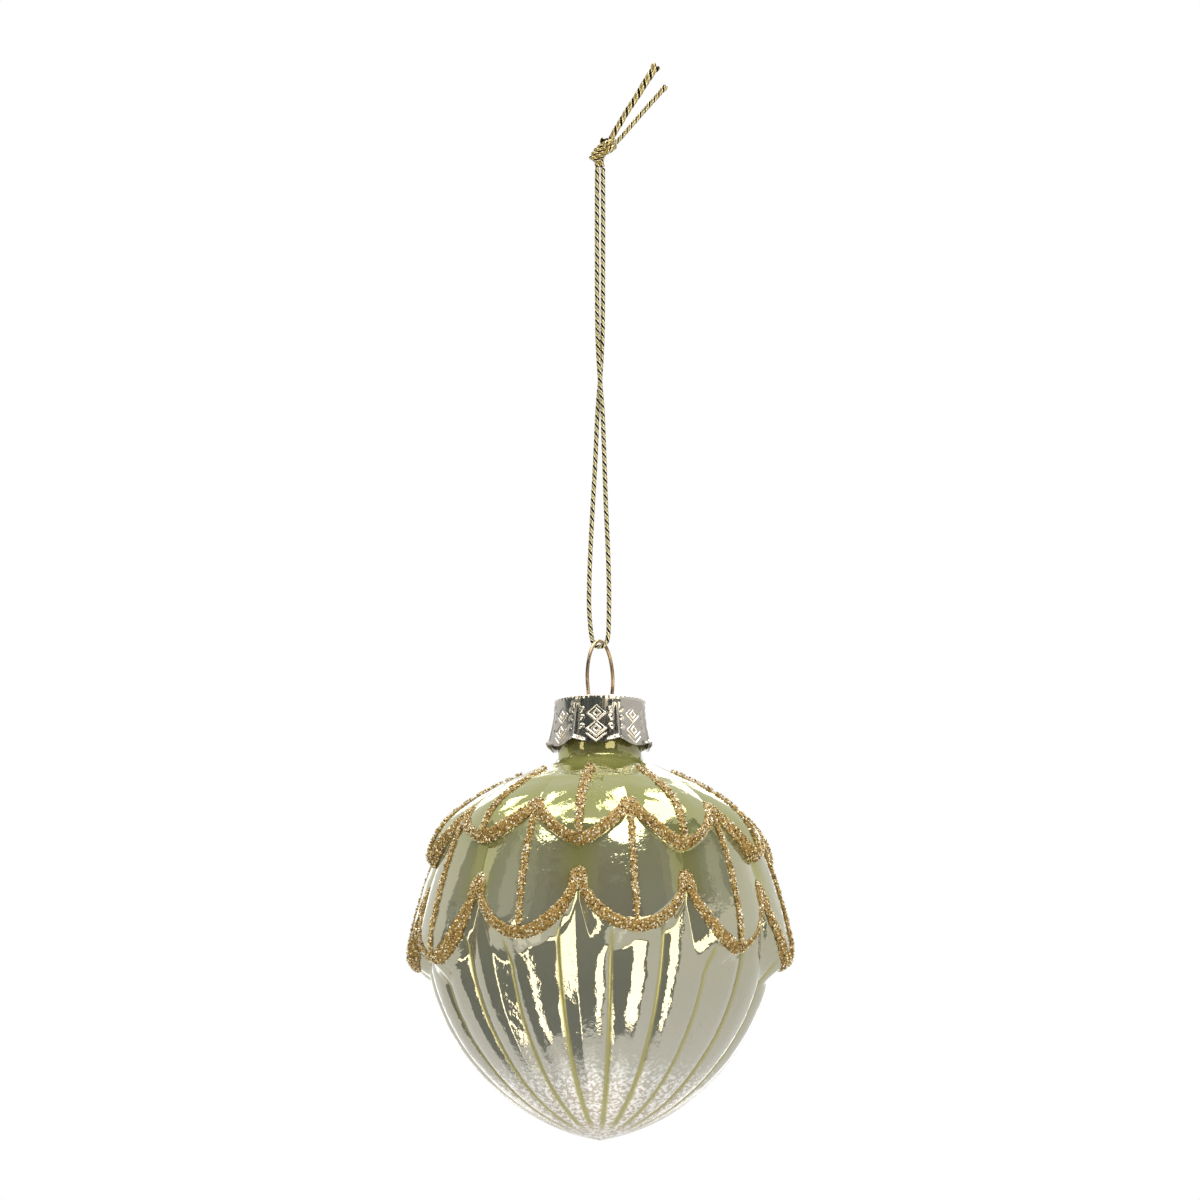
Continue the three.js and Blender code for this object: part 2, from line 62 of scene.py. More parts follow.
def linear(hexColour):
    # an sRGB hex colour as the linear numbers that shaders take
    parts = [int(hexColour[i:i + 2], 16) / 255 for i in (1, 3, 5)]
    return [p / 12.92 if p <= 0.04045 else ((p + 0.055) / 1.055) ** 2.4 for p in parts] + [1.0]


def unit(vectors):
    return vectors / np.linalg.norm(vectors, axis=-1, keepdims=True)


def polar(radius, degrees, height):
    a = np.radians(degrees)
    return np.stack(np.broadcast_arrays(radius * np.sin(a), -radius * np.cos(a), height), -1)


def addNode(tree, kind, settings={}, links={}):
    # One shader node. Small-letter settings are its own, the others are input values, and stops fill a
    # ramp. A link goes from another node's first output, or from the socket that is given.
    node = tree.nodes.new("ShaderNode" + kind)
    for key, value in settings.items():
        if key == "stops":
            ramp = node.color_ramp.elements
            while len(ramp) < len(value):
                ramp.new(0.5)
            for stop, (place, hexColour) in zip(ramp, value):
                stop.position = place
                stop.color = linear(hexColour)
        elif isinstance(key, str) and key[0].islower():
            setattr(node, key, value)
        else:
            node.inputs[key].default_value = value
    for key, source in links.items():
        tree.links.new(getattr(source, "outputs", [source])[0], node.inputs[key])
    return node


def makeMaterial(name, surface):
    # surface is a function that adds nodes with what it is given, and gives back the shader
    material = bpy.data.materials.new(name)
    material.use_nodes = True
    material.node_tree.nodes.clear()
    add = partial(addNode, material.node_tree)
    add("OutputMaterial", {}, {"Surface": surface(add)})
    return material


def textureScale(sizeMm):
    return 1 / (sizeMm * mm)


def makePiece(name, points, faces, material, body, nodes):
    # A mesh from points in millimetres, riding on its body and standing for its solids.
    mesh = bpy.data.meshes.new(name)
    mesh.from_pydata((np.asarray(points, float) * mm).tolist(), [], faces)
    mesh.polygons.foreach_set("use_smooth", [True] * len(mesh.polygons))
    mesh.materials.append(material)
    piece = bpy.data.objects.new(name, mesh)
    bpy.context.scene.collection.objects.link(piece)
    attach(piece, body)
    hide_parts(*nodes)
    return piece


def paint(piece, name, values):
    # a number at each point of the mesh, which the material reads by its name
    layer = piece.data.attributes.new(name, "FLOAT", "POINT")
    layer.data.foreach_set("value", np.ascontiguousarray(values, np.float32).ravel())


def gridFaces(rows, columns, start=0, wrapRows=False):
    # four-sided faces over rings of points; each ring closes on itself
    r = np.arange(rows if wrapRows else rows - 1)[:, None]
    c = np.arange(columns)[None, :]
    here, above = r * columns, ((r + 1) % rows) * columns
    n = (c + 1) % columns
    quads = np.stack(np.broadcast_arrays(here + c, here + n, above + n, above + c), -1)
    return (quads.reshape(-1, 4) + start).tolist()


def tubeFaces(rows, columns, start=0):
    # the same, closed by one face over the first ring and one over the last
    first = np.arange(start, start + columns)
    last = first + (rows - 1) * columns
    return gridFaces(rows, columns, start) + [first[::-1].tolist(), last.tolist()]


def roundTube(line, radius, one, two, sides):
    # rings of points round a line, from two directions square to it
    angle = np.linspace(0, 2 * math.pi, sides, endpoint=False)[None, :, None]
    ring = np.cos(angle) * one[:, None] + np.sin(angle) * two[:, None]
    return line[:, None] + radius[:, None, None] * ring


def cubic(points, t):
    # places along the cubic curve that four points give
    a, b, c, d = np.array(points, float)
    return (1 - t) ** 3 * a + 3 * t * (1 - t) ** 2 * b + 3 * t ** 2 * (1 - t) * c + t ** 3 * d


# Camera

view = {
    "imageWidth": 1200, "pixelsPerMm": 4.85, "hangPixel": (600, 166), "tilt": -9.5,   # looking slightly up
    "lens": 600.0, "sensor": 36.0,
}


def placeCamera():
    tilt = math.radians(view["tilt"])
    distance = view["imageWidth"] / view["pixelsPerMm"] * view["lens"] / view["sensor"]
    middle = view["imageWidth"] / 2
    drop = (view["hangPixel"][1] - middle) / view["pixelsPerMm"] / math.cos(tilt)
    across = (middle - view["hangPixel"][0]) / view["pixelsPerMm"]
    aim = Vector((across, 0, drop)) * mm
    data = bpy.data.cameras.new("camera")
    data.lens = view["lens"]
    data.sensor_width = view["sensor"]
    data.clip_start = 0.01
    data.clip_end = 50
    camera = bpy.data.objects.new("camera", data)
    camera.location = aim + Vector((0, -math.cos(tilt), math.sin(tilt))) * distance * mm
    camera.rotation_euler = (aim - camera.location).to_track_quat("-Z", "Y").to_euler()
    bpy.context.scene.collection.objects.link(camera)
    bpy.context.scene.camera = camera


placeCamera()
print("camera placed")


# Cord: two plies of gold foil yarn, knotted above the hang point

cord = {
    "diameter": 1.0, "pitch": 3.5, "drop": 100.5, "bend": 2.0, "hangerTurn": 54.0,
    "step": 0.12,                           # between the rings of a strand
    "plyOffset": 0.225, "plyThick": 0.275, "plyWide": 0.4,     # shares of the diameter
    "wrap": 0.42, "wrapBulge": 0.04,        # pitch of the foil wound round a ply, and its bulge as a share
    "uneven": 0.06, "opened": 2.0,          # the plies' unevenness, and the length that opens at a cut end
    "longTail": {"diameter": 1.3, "pitch": 4.6, "splay": 0.25, "swell": 0.25, "warm": 0.6},
    "shortTail": {"diameter": 1.0, "pitch": 2.9, "splay": 0.2, "swell": 0.1, "warm": 0.25},
    # loose strips of foil at the cut ends: how many, their length, and how far back, aside and askew
    "strips": {"longTail": 9, "shortTail": 7},
    "strip": {"length": (0.4, 0.8), "back": (0.1, 1.6), "aside": 0.16, "lean": 0.3, "narrowing": 0.4,
              "halfWidth": 0.07, "halfThick": 0.02},
    "knotStrand": {"diameter": 1.1, "pitch": 3.0, "warm": 0.7}, "knotShift": (0.45, -0.1, 0.0),
    "coilPly": 2.2,                         # pitch of the plies in the knot's coils
    # painted shade in the seam between the plies, over a painted highlight beside it, to the dull gold back
    # of a ply
    "seamShadeAndGlint": [(0.3, "#2C260D"), (0.7, "#2C260D"), (0.75, "#FAF5DC"), (0.87, "#FAF5DC"),
                (0.92, "#B9AB6C"), (1.0, "#A39553")],
    "warmTint": "#DDC46A", "rust": "#A0651C",
    "glint": 0.5, "wear": 3.0,              # sizes of the breaks in the glints and of the worn spots
}
strandDown = [
    (0.6, 0.0, -0.1), (0.62, 0.0, -5), (0.64, 0.02, -12), (0.62, 0.05, -20), (0.6, 0.15, -28),
    (0.48, 0.42, -36), (0.05, 0.66, -44), (-0.5, 0.5, -51), (-0.82, 0.5, -58), (-1.1, 0.72, -64),
    (-1.5, 1.02, -71), (-1.92, 1.36, -79), (-2.22, 1.6, -87), (-2.22, 1.6, -93),
]
strandUp = [
    (1.84, -1.34, -93), (1.82, -1.32, -87), (1.56, -1.12, -79), (1.2, -0.86, -71), (0.98, -0.68, -64),
    (0.78, -0.5, -58), (0.5, -0.5, -51), (-0.05, -0.66, -44), (-0.48, -0.42, -36), (-0.6, -0.15, -28),
    (-0.62, -0.05, -20), (-0.64, -0.02, -12), (-0.62, 0.0, -5), (-0.6, 0.0, -0.1),
]
longTailRoute = [
    (2.2, -0.2, 5.6), (2.75, -0.3, 6.9), (4.0, -0.4, 9.0), (5.6, -0.6, 11.7), (7.6, -0.7, 14.8),
    (9.6, -0.8, 18.1), (11.6, -0.8, 21.2),
]
shortTailRoute = [
    (2.6, 0.7, 4.9), (3.75, 0.95, 5.9), (5.3, 1.2, 7.7), (7.4, 1.4, 10.2), (9.6, 1.5, 12.8),
    (11.7, 1.5, 15.2), (13.6, 1.5, 17.4),
]
knotRoute = [
    (0.0, 0.0, 0.2), (-0.2, -0.1, 1.2), (0.2, 0.1, 2.6), (1.2, 0.1, 3.9), (2.1, 0.1, 5.0), (2.5, 0.1, 5.9),
]
# the knot's two lobes are coils of the strand, of this diameter, each round a filling of the core's radius
knotCoils = [
    {"middle": (-0.25, -0.1, 2.85), "axis": (0.6, 0.05, 0.8), "radius": 0.95, "pitch": 0.98, "turns": 3.4,
     "diameter": 1.02, "core": 0.95},
    {"middle": (1.75, 0.0, 4.65), "axis": (-0.3, 0.1, 0.95), "radius": 1.02, "pitch": 1.25, "turns": 2.1,
     "diameter": 1.3, "core": 1.05},
]


def bendPoints():
    # half circle under the wire, across the wire's direction
    turn = np.radians([75, 45, 20, 0, -20, -45, -75])
    across = cord["bend"] * np.sin(turn)
    lie = math.radians(cord["hangerTurn"])
    return [(-a * math.sin(lie), a * math.cos(lie), -cord["drop"] + cord["bend"] * (1 - math.cos(t)))
            for a, t in zip(across, turn)]


def lengthAlong(line):
    steps = np.linalg.norm(np.diff(line, axis=0), axis=1)
    return np.concatenate([[0], np.cumsum(steps)])


def smoothRoute(points):
    # a smooth line through the points (centripetal, as in the solids), cut at even steps
    p = np.array(points, float)
    p = np.vstack([2 * p[0] - p[1], p, 2 * p[-1] - p[-2]])
    line = []
    for a, b, c, d in zip(p, p[1:], p[2:], p[3:]):
        t1 = np.linalg.norm(b - a) ** 0.5
        t2 = t1 + np.linalg.norm(c - b) ** 0.5
        t3 = t2 + np.linalg.norm(d - c) ** 0.5
        t = np.linspace(t1, t2, 40, endpoint=False)[:, None]
        ab = blend(a, b, t / t1)
        bc = blend(b, c, (t - t1) / (t2 - t1))
        cd = blend(c, d, (t - t2) / (t3 - t2))
        abc = blend(ab, bc, t / t2)
        bcd = blend(bc, cd, (t - t1) / (t3 - t1))
        line.append(blend(abc, bcd, (t - t1) / (t2 - t1)))
    line = np.vstack(line + [p[-2:-1]])
    along = lengthAlong(line)
    even = np.linspace(0, along[-1], max(8, int(along[-1] / cord["step"])))
    return np.stack([np.interp(even, along, line[:, k]) for k in range(3)], 1), even


def directions(line):
    return unit(np.gradient(line, axis=0))


def carriedSides(line):
    # two directions square to the line at each point, carried along it without twisting
    ahead = directions(line)
    side = np.cross(ahead[0], (0, 1, 0.1))
    sides = []
    for t in ahead:
        side = unit(side - t * side.dot(t))
        sides.append(side)
    sides = np.array(sides)
    return sides, np.cross(ahead, sides)


def twistedPlies(line, along, diameter, pitch, splay=0.0, swell=0.0, warm=0.0, sides=14):
    # Points, faces and paint of two plies wound round a line. Splay opens them at the far end, where the
    # strand also swells.
    one, two = carriedSides(line)
    size = diameter * (1 + swell * smooth(along / along[-1], 0.3, 1))
    opened = splay * smooth(along, along[-1] - cord["opened"], along[-1]) ** 2
    angle = np.linspace(0, 2 * math.pi, sides, endpoint=False)
    bulge = 1 + cord["wrapBulge"] * np.sin(2 * math.pi * along[:, None] / cord["wrap"] + angle)
    thick = (cord["plyThick"] * size)[:, None] * bulge * np.cos(angle)
    wide = (cord["plyWide"] * size)[:, None] * bulge * np.sin(angle)
    points, faces = [], []
    for ply in range(2):
        turn = -2 * math.pi * along / pitch + math.pi * ply
        out = cord["plyOffset"] * size * (1 + cord["uneven"] * np.sin(along * 1.7 + ply * 2)) + opened
        radial = np.cos(turn)[:, None] * one + np.sin(turn)[:, None] * two
        middle = line + radial * out[:, None]
        ahead = directions(middle)
        radial = unit(radial - ahead * np.sum(radial * ahead, 1, keepdims=True))
        third = np.cross(ahead, radial)
        tube = middle[:, None] + thick[..., None] * radial[:, None] + wide[..., None] * third[:, None]
        points.append(tube.reshape(-1, 3))
        faces += tubeFaces(len(line), sides, ply * len(line) * sides)
    wound = along[:, None] + angle / (2 * math.pi) * cord["wrap"]
    # the material paints shade where facing is low, against the other ply, and a highlight just beside it
    facing = (1 + np.cos(angle)) / 2        # 0 against the other ply, 1 on the outside
    marks = np.stack(np.broadcast_arrays(wound, facing, warm), -1).reshape(-1, 3)
    return points, faces, [marks, marks]


def addStrips(points, faces, marks, line, diameter, count):
    # cut ends of foil that stand out of a tail
    strip = cord["strip"]
    sidesOfStrip = [(0, 1, 2, 3), (7, 6, 5, 4), (0, 4, 5, 1), (1, 5, 6, 2), (2, 6, 7, 3), (3, 7, 4, 0)]
    start = sum(len(p) for p in points)
    ahead = directions(line)[-1]
    for i in range(count):
        lean = unit(ahead + rng.normal(0, strip["lean"], 3))
        across = unit(np.cross(lean, rng.normal(0, 1, 3)))
        foot = line[-1] - ahead * rng.uniform(*strip["back"]) + rng.normal(0, strip["aside"] * diameter, 3)
        tip = foot + lean * rng.uniform(*strip["length"])
        thick = np.cross(lean, across) * strip["halfThick"]
        half = across * strip["halfWidth"]
        tipHalf = half * strip["narrowing"]
        corners = [foot - half, foot + half, tip + tipHalf, tip - tipHalf]
        points.append(np.array([c + thick for c in corners] + [c - thick for c in corners]))
        faces += [[start + i * 8 + corner for corner in face] for face in sidesOfStrip]
        marks.append(np.tile((rng.uniform(0, 3), rng.uniform(0.05, 1), 0.6), (8, 1)))


def cordPiece(name, parts, material, node):
    points, faces, marks = parts
    piece = makePiece(name, np.vstack(points), faces, material, "cord", [node])
    marks = np.vstack(marks)
    for column, title in enumerate(("along", "facing", "warm")):
        paint(piece, title, marks[:, column])
    return piece


def goldFoilYarn(add):
    # Slit polyester film, metallised and wound on a core: painted shade in the seams between the plies with
    # painted highlights beside them,
    #  dull gold on the backs of the plies, and here and there worn to rust.
    along, facing, warm = [add("Attribute", {"attribute_name": name}).outputs["Fac"]
                           for name in ("along", "facing", "warm")]
    place = add("TexCoord").outputs["Object"]
    glint = add("TexNoise", {"Scale": textureScale(cord["glint"]), "Detail": 2.0}, {"Vector": place})
    wear = add("TexNoise", {"Scale": textureScale(cord["wear"]), "Detail": 1.0}, {"Vector": place})
    turns = add("Math", {"operation": "MULTIPLY", 1: 2 * math.pi / cord["wrap"]}, {0: along})
    wave = add("Math", {"operation": "SINE"}, {0: turns})
    ragged = add("Math", {"operation": "MULTIPLY_ADD", 1: 0.2, 2: -0.1}, {0: glint})
    tone = add("Math", {"operation": "ADD"}, {0: facing, 1: ragged})
    wound = add("Math", {"operation": "MULTIPLY_ADD", 1: 0.04}, {0: wave, 2: tone})
    # painted shade in the seams and painted highlights beside them, by how far round the ply a point lies
    foil = add("ValToRGB", {"stops": cord["seamShadeAndGlint"]}, {"Fac": wound})
    warmth = add("Math", {"operation": "MULTIPLY", 1: 0.6}, {0: warm})
    golden = add("Mix", {"data_type": "RGBA", "blend_type": "MULTIPLY", 7: linear(cord["warmTint"])},
                 {0: warmth, 6: foil}).outputs[2]
    spots = add("MapRange", {"From Min": 0.55, "From Max": 0.68}, {"Value": wear})
    worn = add("Math", {"operation": "MULTIPLY"}, {0: spots, 1: warmth})
    colour = add("Mix", {"data_type": "RGBA", 7: linear(cord["rust"])}, {0: worn, 6: golden}).outputs[2]
    bump = add("Bump", {"Strength": 0.6, "Distance": 0.04 * mm}, {"Height": wound})
    gloss = add("MapRange", {"From Min": 0.65, "From Max": 0.8}, {"Value": wound})
    coat = add("Math", {"operation": "MULTIPLY", 1: 0.6}, {0: gloss})
    level = add("Math", {"operation": "MULTIPLY", 1: 0.5}, {0: gloss})
    return add("BsdfPrincipled", {"Metallic": 0.45, "Roughness": 0.32, "Coat Roughness": 0.12},
               {"Base Color": colour, "Normal": bump, "Coat Weight": coat, "Specular IOR Level": level})


def joined(*groups):
    # several groups of points, faces and paint as one
    points, faces, marks = [], [], []
    for more in groups:
        shift = sum(len(p) for p in points)
        points += more[0]
        faces += [[index + shift for index in face] for face in more[1]]
        marks += more[2]
    return points, faces, marks


def plainTube(line, radius, sides=16):
    # the filling of a coil, painted with the seams' shade colour, so that it shows only as a dark seam
    tube = roundTube(line, radius, *carriedSides(line), sides)
    # facing 0.3 paints it the dark of the painted seam shade
    marks = np.tile((0.0, 0.3, 1.0), (len(line) * sides, 1))
    return [tube.reshape(-1, 3)], tubeFaces(len(line), sides), [marks]


def knotCoil(middle, axis, radius, pitch, turns, diameter, core, narrowing=0.9, filled=0.2):
    # One lobe: a strand wound round a filled core, both tighter towards the ends like an egg. The coil's
    # egg is longer than the coil at each end by the narrowing, and the core by filled.
    def drawnIn(reach, limit):
        return np.sqrt(np.clip(1 - (reach / limit) ** 2, 0.05, 1))

    axis = unit(np.array(axis))
    one = unit(np.cross(axis, (0, 1, 0)))
    two = np.cross(axis, one)
    turn = np.linspace(0, 2 * math.pi * turns, int(turns * 60))
    reach = (turn / (2 * math.pi) - turns / 2) * pitch
    wide = radius * drawnIn(reach, 0.5 * turns * pitch + narrowing)
    circle = (np.cos(turn) * wide)[:, None] * one + (np.sin(turn) * wide)[:, None] * two
    line = np.array(middle) + reach[:, None] * axis + circle
    ends = np.linspace(reach[0] - filled, reach[-1] + filled, 12)
    filling = np.array(middle) + ends[:, None] * axis
    strand = twistedPlies(line, lengthAlong(line), diameter, cord["coilPly"], warm=1.0)
    return joined(strand, plainTube(filling, core * drawnIn(ends, ends[-1] + 0.15)))


def makeCord():
    foil = makeMaterial("gold foil yarn, wound", goldFoilYarn)
    line, along = smoothRoute(strandDown + bendPoints() + strandUp)
    plies = twistedPlies(line, along, cord["diameter"], cord["pitch"])
    loop = cordPiece("goldCordLoop", plies, foil, "cord_loop")
    for name, node, kind, route in (("goldCordLongTail", "cord_tail_long", "longTail", longTailRoute),
                                    ("goldCordShortTail", "cord_tail_short", "shortTail", shortTailRoute)):
        tailLine, tailAlong = smoothRoute(route)
        parts = twistedPlies(tailLine, tailAlong, **cord[kind])
        addStrips(*parts, tailLine, cord[kind]["diameter"], cord["strips"][kind])
        cordPiece(name, parts, foil, node)
    through, throughAlong = smoothRoute(knotRoute)
    strands = [twistedPlies(through + side * np.array(cord["knotShift"]), throughAlong, **cord["knotStrand"])
               for side in (-1, 1)]
    lobes = [knotCoil(**lobe) for lobe in knotCoils]
    knot = cordPiece("goldCordKnot", joined(*strands, *lobes), foil, "cord_knot")
    print(f"cord made, {along[-1]:.1f} mm in the loop")


makeCord()


# Glass body

glass = {
    "lowerTip": 36.9, "lowerRise": 11.4, "tierSpacing": 20.4, "upperRise": 7.5, "upperTier": 19.6,
    "neckFoot": 4.4, "neckLength": 9.45, "wall": 0.9,
    "fluteRadius": 36.0, "lowerRadius": 39.5, "narrowing": 8.4, "upperInset": 3.6,
    "shoulderRadius": 13.4, "neckRadius": 8.6,
    "petals": 10, "petalTurn": 11.0, "fluteTurn": 3.8, "fluteDepth": 1.1,
    "flatSides": (-9.7, 44.3, -36.7),            # middles of the sides of flutes that came out flat
    "lowerScallop": 1.9, "upperScallop": 1.6,    # how sharply the edges turn up at the notches
    "lowerDome": 1.3, "upperDome": 1.3,
    "lowerLip": (3.2, 1.5), "upperLip": (2.0, 1.3),        # reach of the fillets under and over the edges
    # how far each petal's point lies above the others' height, from the front one round
    "lowerLifts": (2.1, -0.7, -1.1, 0, 0, 0, 0, 0, -1.7, 1.1),
    "upperLifts": (-0.3, -0.5, 0, 0, 0, 0, 0, -0.4, 1.9, 0.1),
    "columns": 600, "ripple": 0.011,             # height of each of the ripples left by blowing
    "ledge": (72.7, 0.22, 0.7),                  # height, rise and width of the ring above the petals
    # small marks of the mould round the neck, by angle and height: each a swelling with a pit, of these
    # heights and widths
    "dimples": [(-38.0, 78.6), (-14.6, 78.4), (66.0, 78.2)], "swelling": (0.3, 0.75), "pit": (0.22, 0.4),
    "crease": (0.66, 0.42, 40.0),                # half width of the lacquer in a crease: at the point, and
                                                 # from this height up
    "frosted": (2, 23),                          # heights between which the frosting fades
    # by share of the height: the lacquer's tint, and as a grey how much of a mirror the glass is
    "tint": [(0.0, "#B5A795"), (0.05, "#B5A795"), (0.13, "#BAB7A9"), (0.3, "#B0AD9A"), (0.46, "#B3B095"),
             (0.62, "#ABA984"), (0.76, "#9FA264"), (0.85, "#ADAD66"), (0.862, "#ADAD66"), (0.88, "#87834F")],
    "silvering": [(0.3, "#D9D9D9"), (0.5, "#C8C8C8"), (0.65, "#BFBFBF"), (0.8, "#B4B4B4"),
                  (0.85, "#4A4A4A"), (0.86, "#4A4A4A"), (0.876, "#A4A4A4")],
    # the frost colour is partly frost and partly a painted highlight of the light from below
    "groove": "#AAA467", "frost": "#F4F3EE",
    "pooled": "#FDFCC6",                         # multiplied onto the tint where the lacquer is thick
    "cloud": 9.0, "grain": 0.8, "coarsePeel": 1.5, "finePeel": 0.5,    # sizes of the lacquer's patterns
}
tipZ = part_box("glass_body")[0].z / mm
upperTip = glass["lowerTip"] + glass["tierSpacing"]
upperRadius = glass["lowerRadius"] - glass["upperInset"]
upperTurn = glass["petalTurn"] + 180 / glass["petals"]
shoulder = upperTip + glass["upperTier"]
footTop = shoulder + glass["neckFoot"]
rim = footTop + glass["neckLength"]
fluteTop = glass["lowerTip"] + 0.62 * glass["lowerRise"]
lowerBulge = glass["lowerTip"] + glass["lowerLip"][0]
upperNotch = upperTip + glass["upperRise"]


def profile(*points):
    # radius over height along a cubic curve, ready for reading
    curve = cubic(points, np.linspace(0, 1, 500)[:, None])
    return lambda height: np.interp(height, curve[:, 1], curve[:, 0])


fluteCurve = profile((0, 0), (0.6 * glass["fluteRadius"], 0.1 * fluteTop),
                     (1.005 * glass["fluteRadius"], 0.523 * fluteTop), (glass["fluteRadius"], fluteTop))
lowerCurve = profile(
    (glass["lowerRadius"], lowerBulge),
    (glass["lowerRadius"] - 0.08 * glass["narrowing"], blend(lowerBulge, upperNotch, 0.17)),
    (glass["lowerRadius"] - 0.5 * glass["narrowing"], blend(lowerBulge, upperNotch, 0.745)),
    (glass["lowerRadius"] - glass["narrowing"], upperNotch))
upperCurve = profile(
    (upperRadius, upperTip - 0.5 * glass["upperLip"][0]),
    (0.992 * upperRadius, blend(upperTip, shoulder, 0.485)),
    (blend(glass["shoulderRadius"], upperRadius, 0.47), blend(upperTip, shoulder, 0.74)),
    (glass["shoulderRadius"], shoulder))
footBend = blend(shoulder, footTop, 0.16)
footCurve = profile(
    (glass["shoulderRadius"], shoulder),
    (blend(glass["neckRadius"], glass["shoulderRadius"], 0.3), footBend),
    (glass["neckRadius"], footBend), (glass["neckRadius"], footTop))


def petalShare(degrees, turn):
    # 0 on the middle line of a petal, 1 at the notch beside it
    share = (degrees - turn) / (360 / glass["petals"])
    return 2 * np.abs(share - np.round(share))


def pointLift(degrees, turn, lifts):
    petal = np.round((degrees - turn) / (360 / glass["petals"])).astype(int) % glass["petals"]
    return np.array(lifts)[petal] * (1 - petalShare(degrees, turn) ** 2) ** 2


def lowerEdge(degrees):
    rise = glass["lowerRise"] * petalShare(degrees, glass["petalTurn"]) ** glass["lowerScallop"]
    return glass["lowerTip"] + rise + pointLift(degrees, glass["petalTurn"], glass["lowerLifts"])


def upperEdge(degrees):
    share = petalShare(degrees, upperTurn)
    rise = glass["upperRise"] * (0.5 * share ** glass["upperScallop"] + 0.5 * smooth(share, 0, 1))
    return upperTip + rise + pointLift(degrees, upperTurn, glass["upperLifts"])


def edgeStretch(share, rise, radius):
    # how much longer a distance square to the edge is when it is measured upright
    slope = glass["lowerScallop"] * rise * share / (math.pi * radius / glass["petals"])
    return np.sqrt(1 + slope ** 2) * (1 - 0.4 * smooth(share, 0.75, 1))


def lowerStretch(degrees):
    return edgeStretch(petalShare(degrees, glass["petalTurn"]), glass["lowerRise"], glass["lowerRadius"])


def lowerLipReach(degrees):
    # how far the fillet under the lower edge reaches: twice as far halfway up the left side of each petal
    share = (degrees - glass["petalTurn"]) / (360 / glass["petals"])
    left = np.clip(2 * (np.round(share) - share), 0, 1)
    return glass["lowerLip"][0] * (1 + 4 * left * (1 - left))


def upperStretch(degrees):
    return edgeStretch(petalShare(degrees, upperTurn), glass["upperRise"], upperRadius)


def grooveShare(degrees):
    # 1 in the crease between two flutes, 0 on the back of a flute
    share = (degrees - glass["fluteTurn"]) / (180 / glass["petals"])
    return 2 * np.abs(share - np.floor(share) - 0.5)


def turnFrom(degrees, middle):
    # angle from a middle line, between -180 and 180
    return (degrees - middle + 180) % 360 - 180


def fluteDip(degrees):
    # how deep the surface lies below a flute's back: rounded, or flat on the sides that are named
    share = grooveShare(degrees)
    flat = np.zeros(np.shape(share), bool)
    for middle in glass["flatSides"]:
        flat |= np.abs(turnFrom(degrees, middle)) <= 90 / (2 * glass["petals"])
    flatPart = np.clip(share - 0.257, 0, 1)
    level = flatPart * (1.676 - 0.437 * flatPart)            # a plane, seen from above
    return glass["fluteDepth"] * np.where(flat, level, share ** 2.6)


def glassRadius(degrees, height):
    lowerDome = glass["lowerDome"] * petalShare(degrees, glass["petalTurn"]) ** 2
    fade = 1 - smooth(height, blend(upperTip, shoulder, 0.35), shoulder)
    upperDome = glass["upperDome"] * petalShare(degrees, upperTurn) ** 2 * fade
    dip = fluteDip(degrees) * smooth(height, 0, 0.35 * fluteTop)
    fromLower = (height - lowerEdge(degrees)) / lowerStretch(degrees)
    fromUpper = (height - upperEdge(degrees)) / upperStretch(degrees)
    lower = smooth(fromLower, -lowerLipReach(degrees), glass["lowerLip"][1])
    upper = smooth(fromUpper, -glass["upperLip"][0], glass["upperLip"][1])
    body = blend(blend(fluteCurve(height) - dip, lowerCurve(height) - lowerDome, lower),
                 upperCurve(height) - upperDome, upper)
    return np.where(height >= shoulder, footCurve(height), body)


def ripples(points, waves=26, longest=9.0, shortest=3.0):
    # gentle unevenness of blown glass, as a sum of waves in all directions
    own = np.random.default_rng(5)
    total = np.zeros(points.shape[:-1])
    for i in range(waves):
        way = unit(own.normal(0, 1, 3))
        length = blend(longest, shortest, i / waves)
        phase = own.uniform(0, 2 * math.pi)
        total += np.sin(points @ way * 2 * math.pi / length + phase) * length / longest
    return total * glass["ripple"]


def glassRows():
    # heights of the rows at every column: rows follow the scalloped edges
    degrees = np.arange(glass["columns"]) * 360 / glass["columns"] + glass["petalTurn"]
    level = np.ones(len(degrees))
    low, high = lowerEdge(degrees), upperEdge(degrees)
    stops = [0.02 * level,
             low - lowerLipReach(degrees) * lowerStretch(degrees),
             low + glass["lowerLip"][1] * lowerStretch(degrees),
             high - glass["upperLip"][0] * upperStretch(degrees),
             high + glass["upperLip"][1] * upperStretch(degrees),
             shoulder * level, footTop * level, rim * level]
    counts = [110, 30, 42, 24, 56, 22, 20]
    rows = []
    for start, end, count in zip(stops, stops[1:], counts):
        ease = 1.7 if start[0] < 1 else 1.0              # rows lie closer together at the point
        rows += [blend(start, end, (i / count) ** ease) for i in range(count)]
    return degrees, np.array(rows + [stops[-1]])


def outerPoints(degrees, heights):
    # the outside, with the ledge, the dimples and the ripples
    ledgeAt, ledgeRise, ledgeWidth = glass["ledge"]
    ledge = ledgeRise * np.exp(-((heights - ledgeAt) / ledgeWidth) ** 2)
    radius = glassRadius(degrees, heights) + ledge
    swelling, pit = glass["swelling"], glass["pit"]
    for turn, at in glass["dimples"]:
        aside = np.radians(turnFrom(degrees, turn)) * glass["neckRadius"]
        away = np.hypot(aside, heights - at)
        radius = radius + swelling[0] * np.exp(-(away / swelling[1]) ** 4)
        radius = radius - pit[0] * np.exp(-(away / pit[1]) ** 2)
    points = polar(radius, degrees, heights)
    rippled = ripples(points) * smooth(heights, 0.5, 6) * (1 - smooth(heights, shoulder, footTop))
    return points + polar(1.0, degrees, 0 * heights) * rippled[..., None]


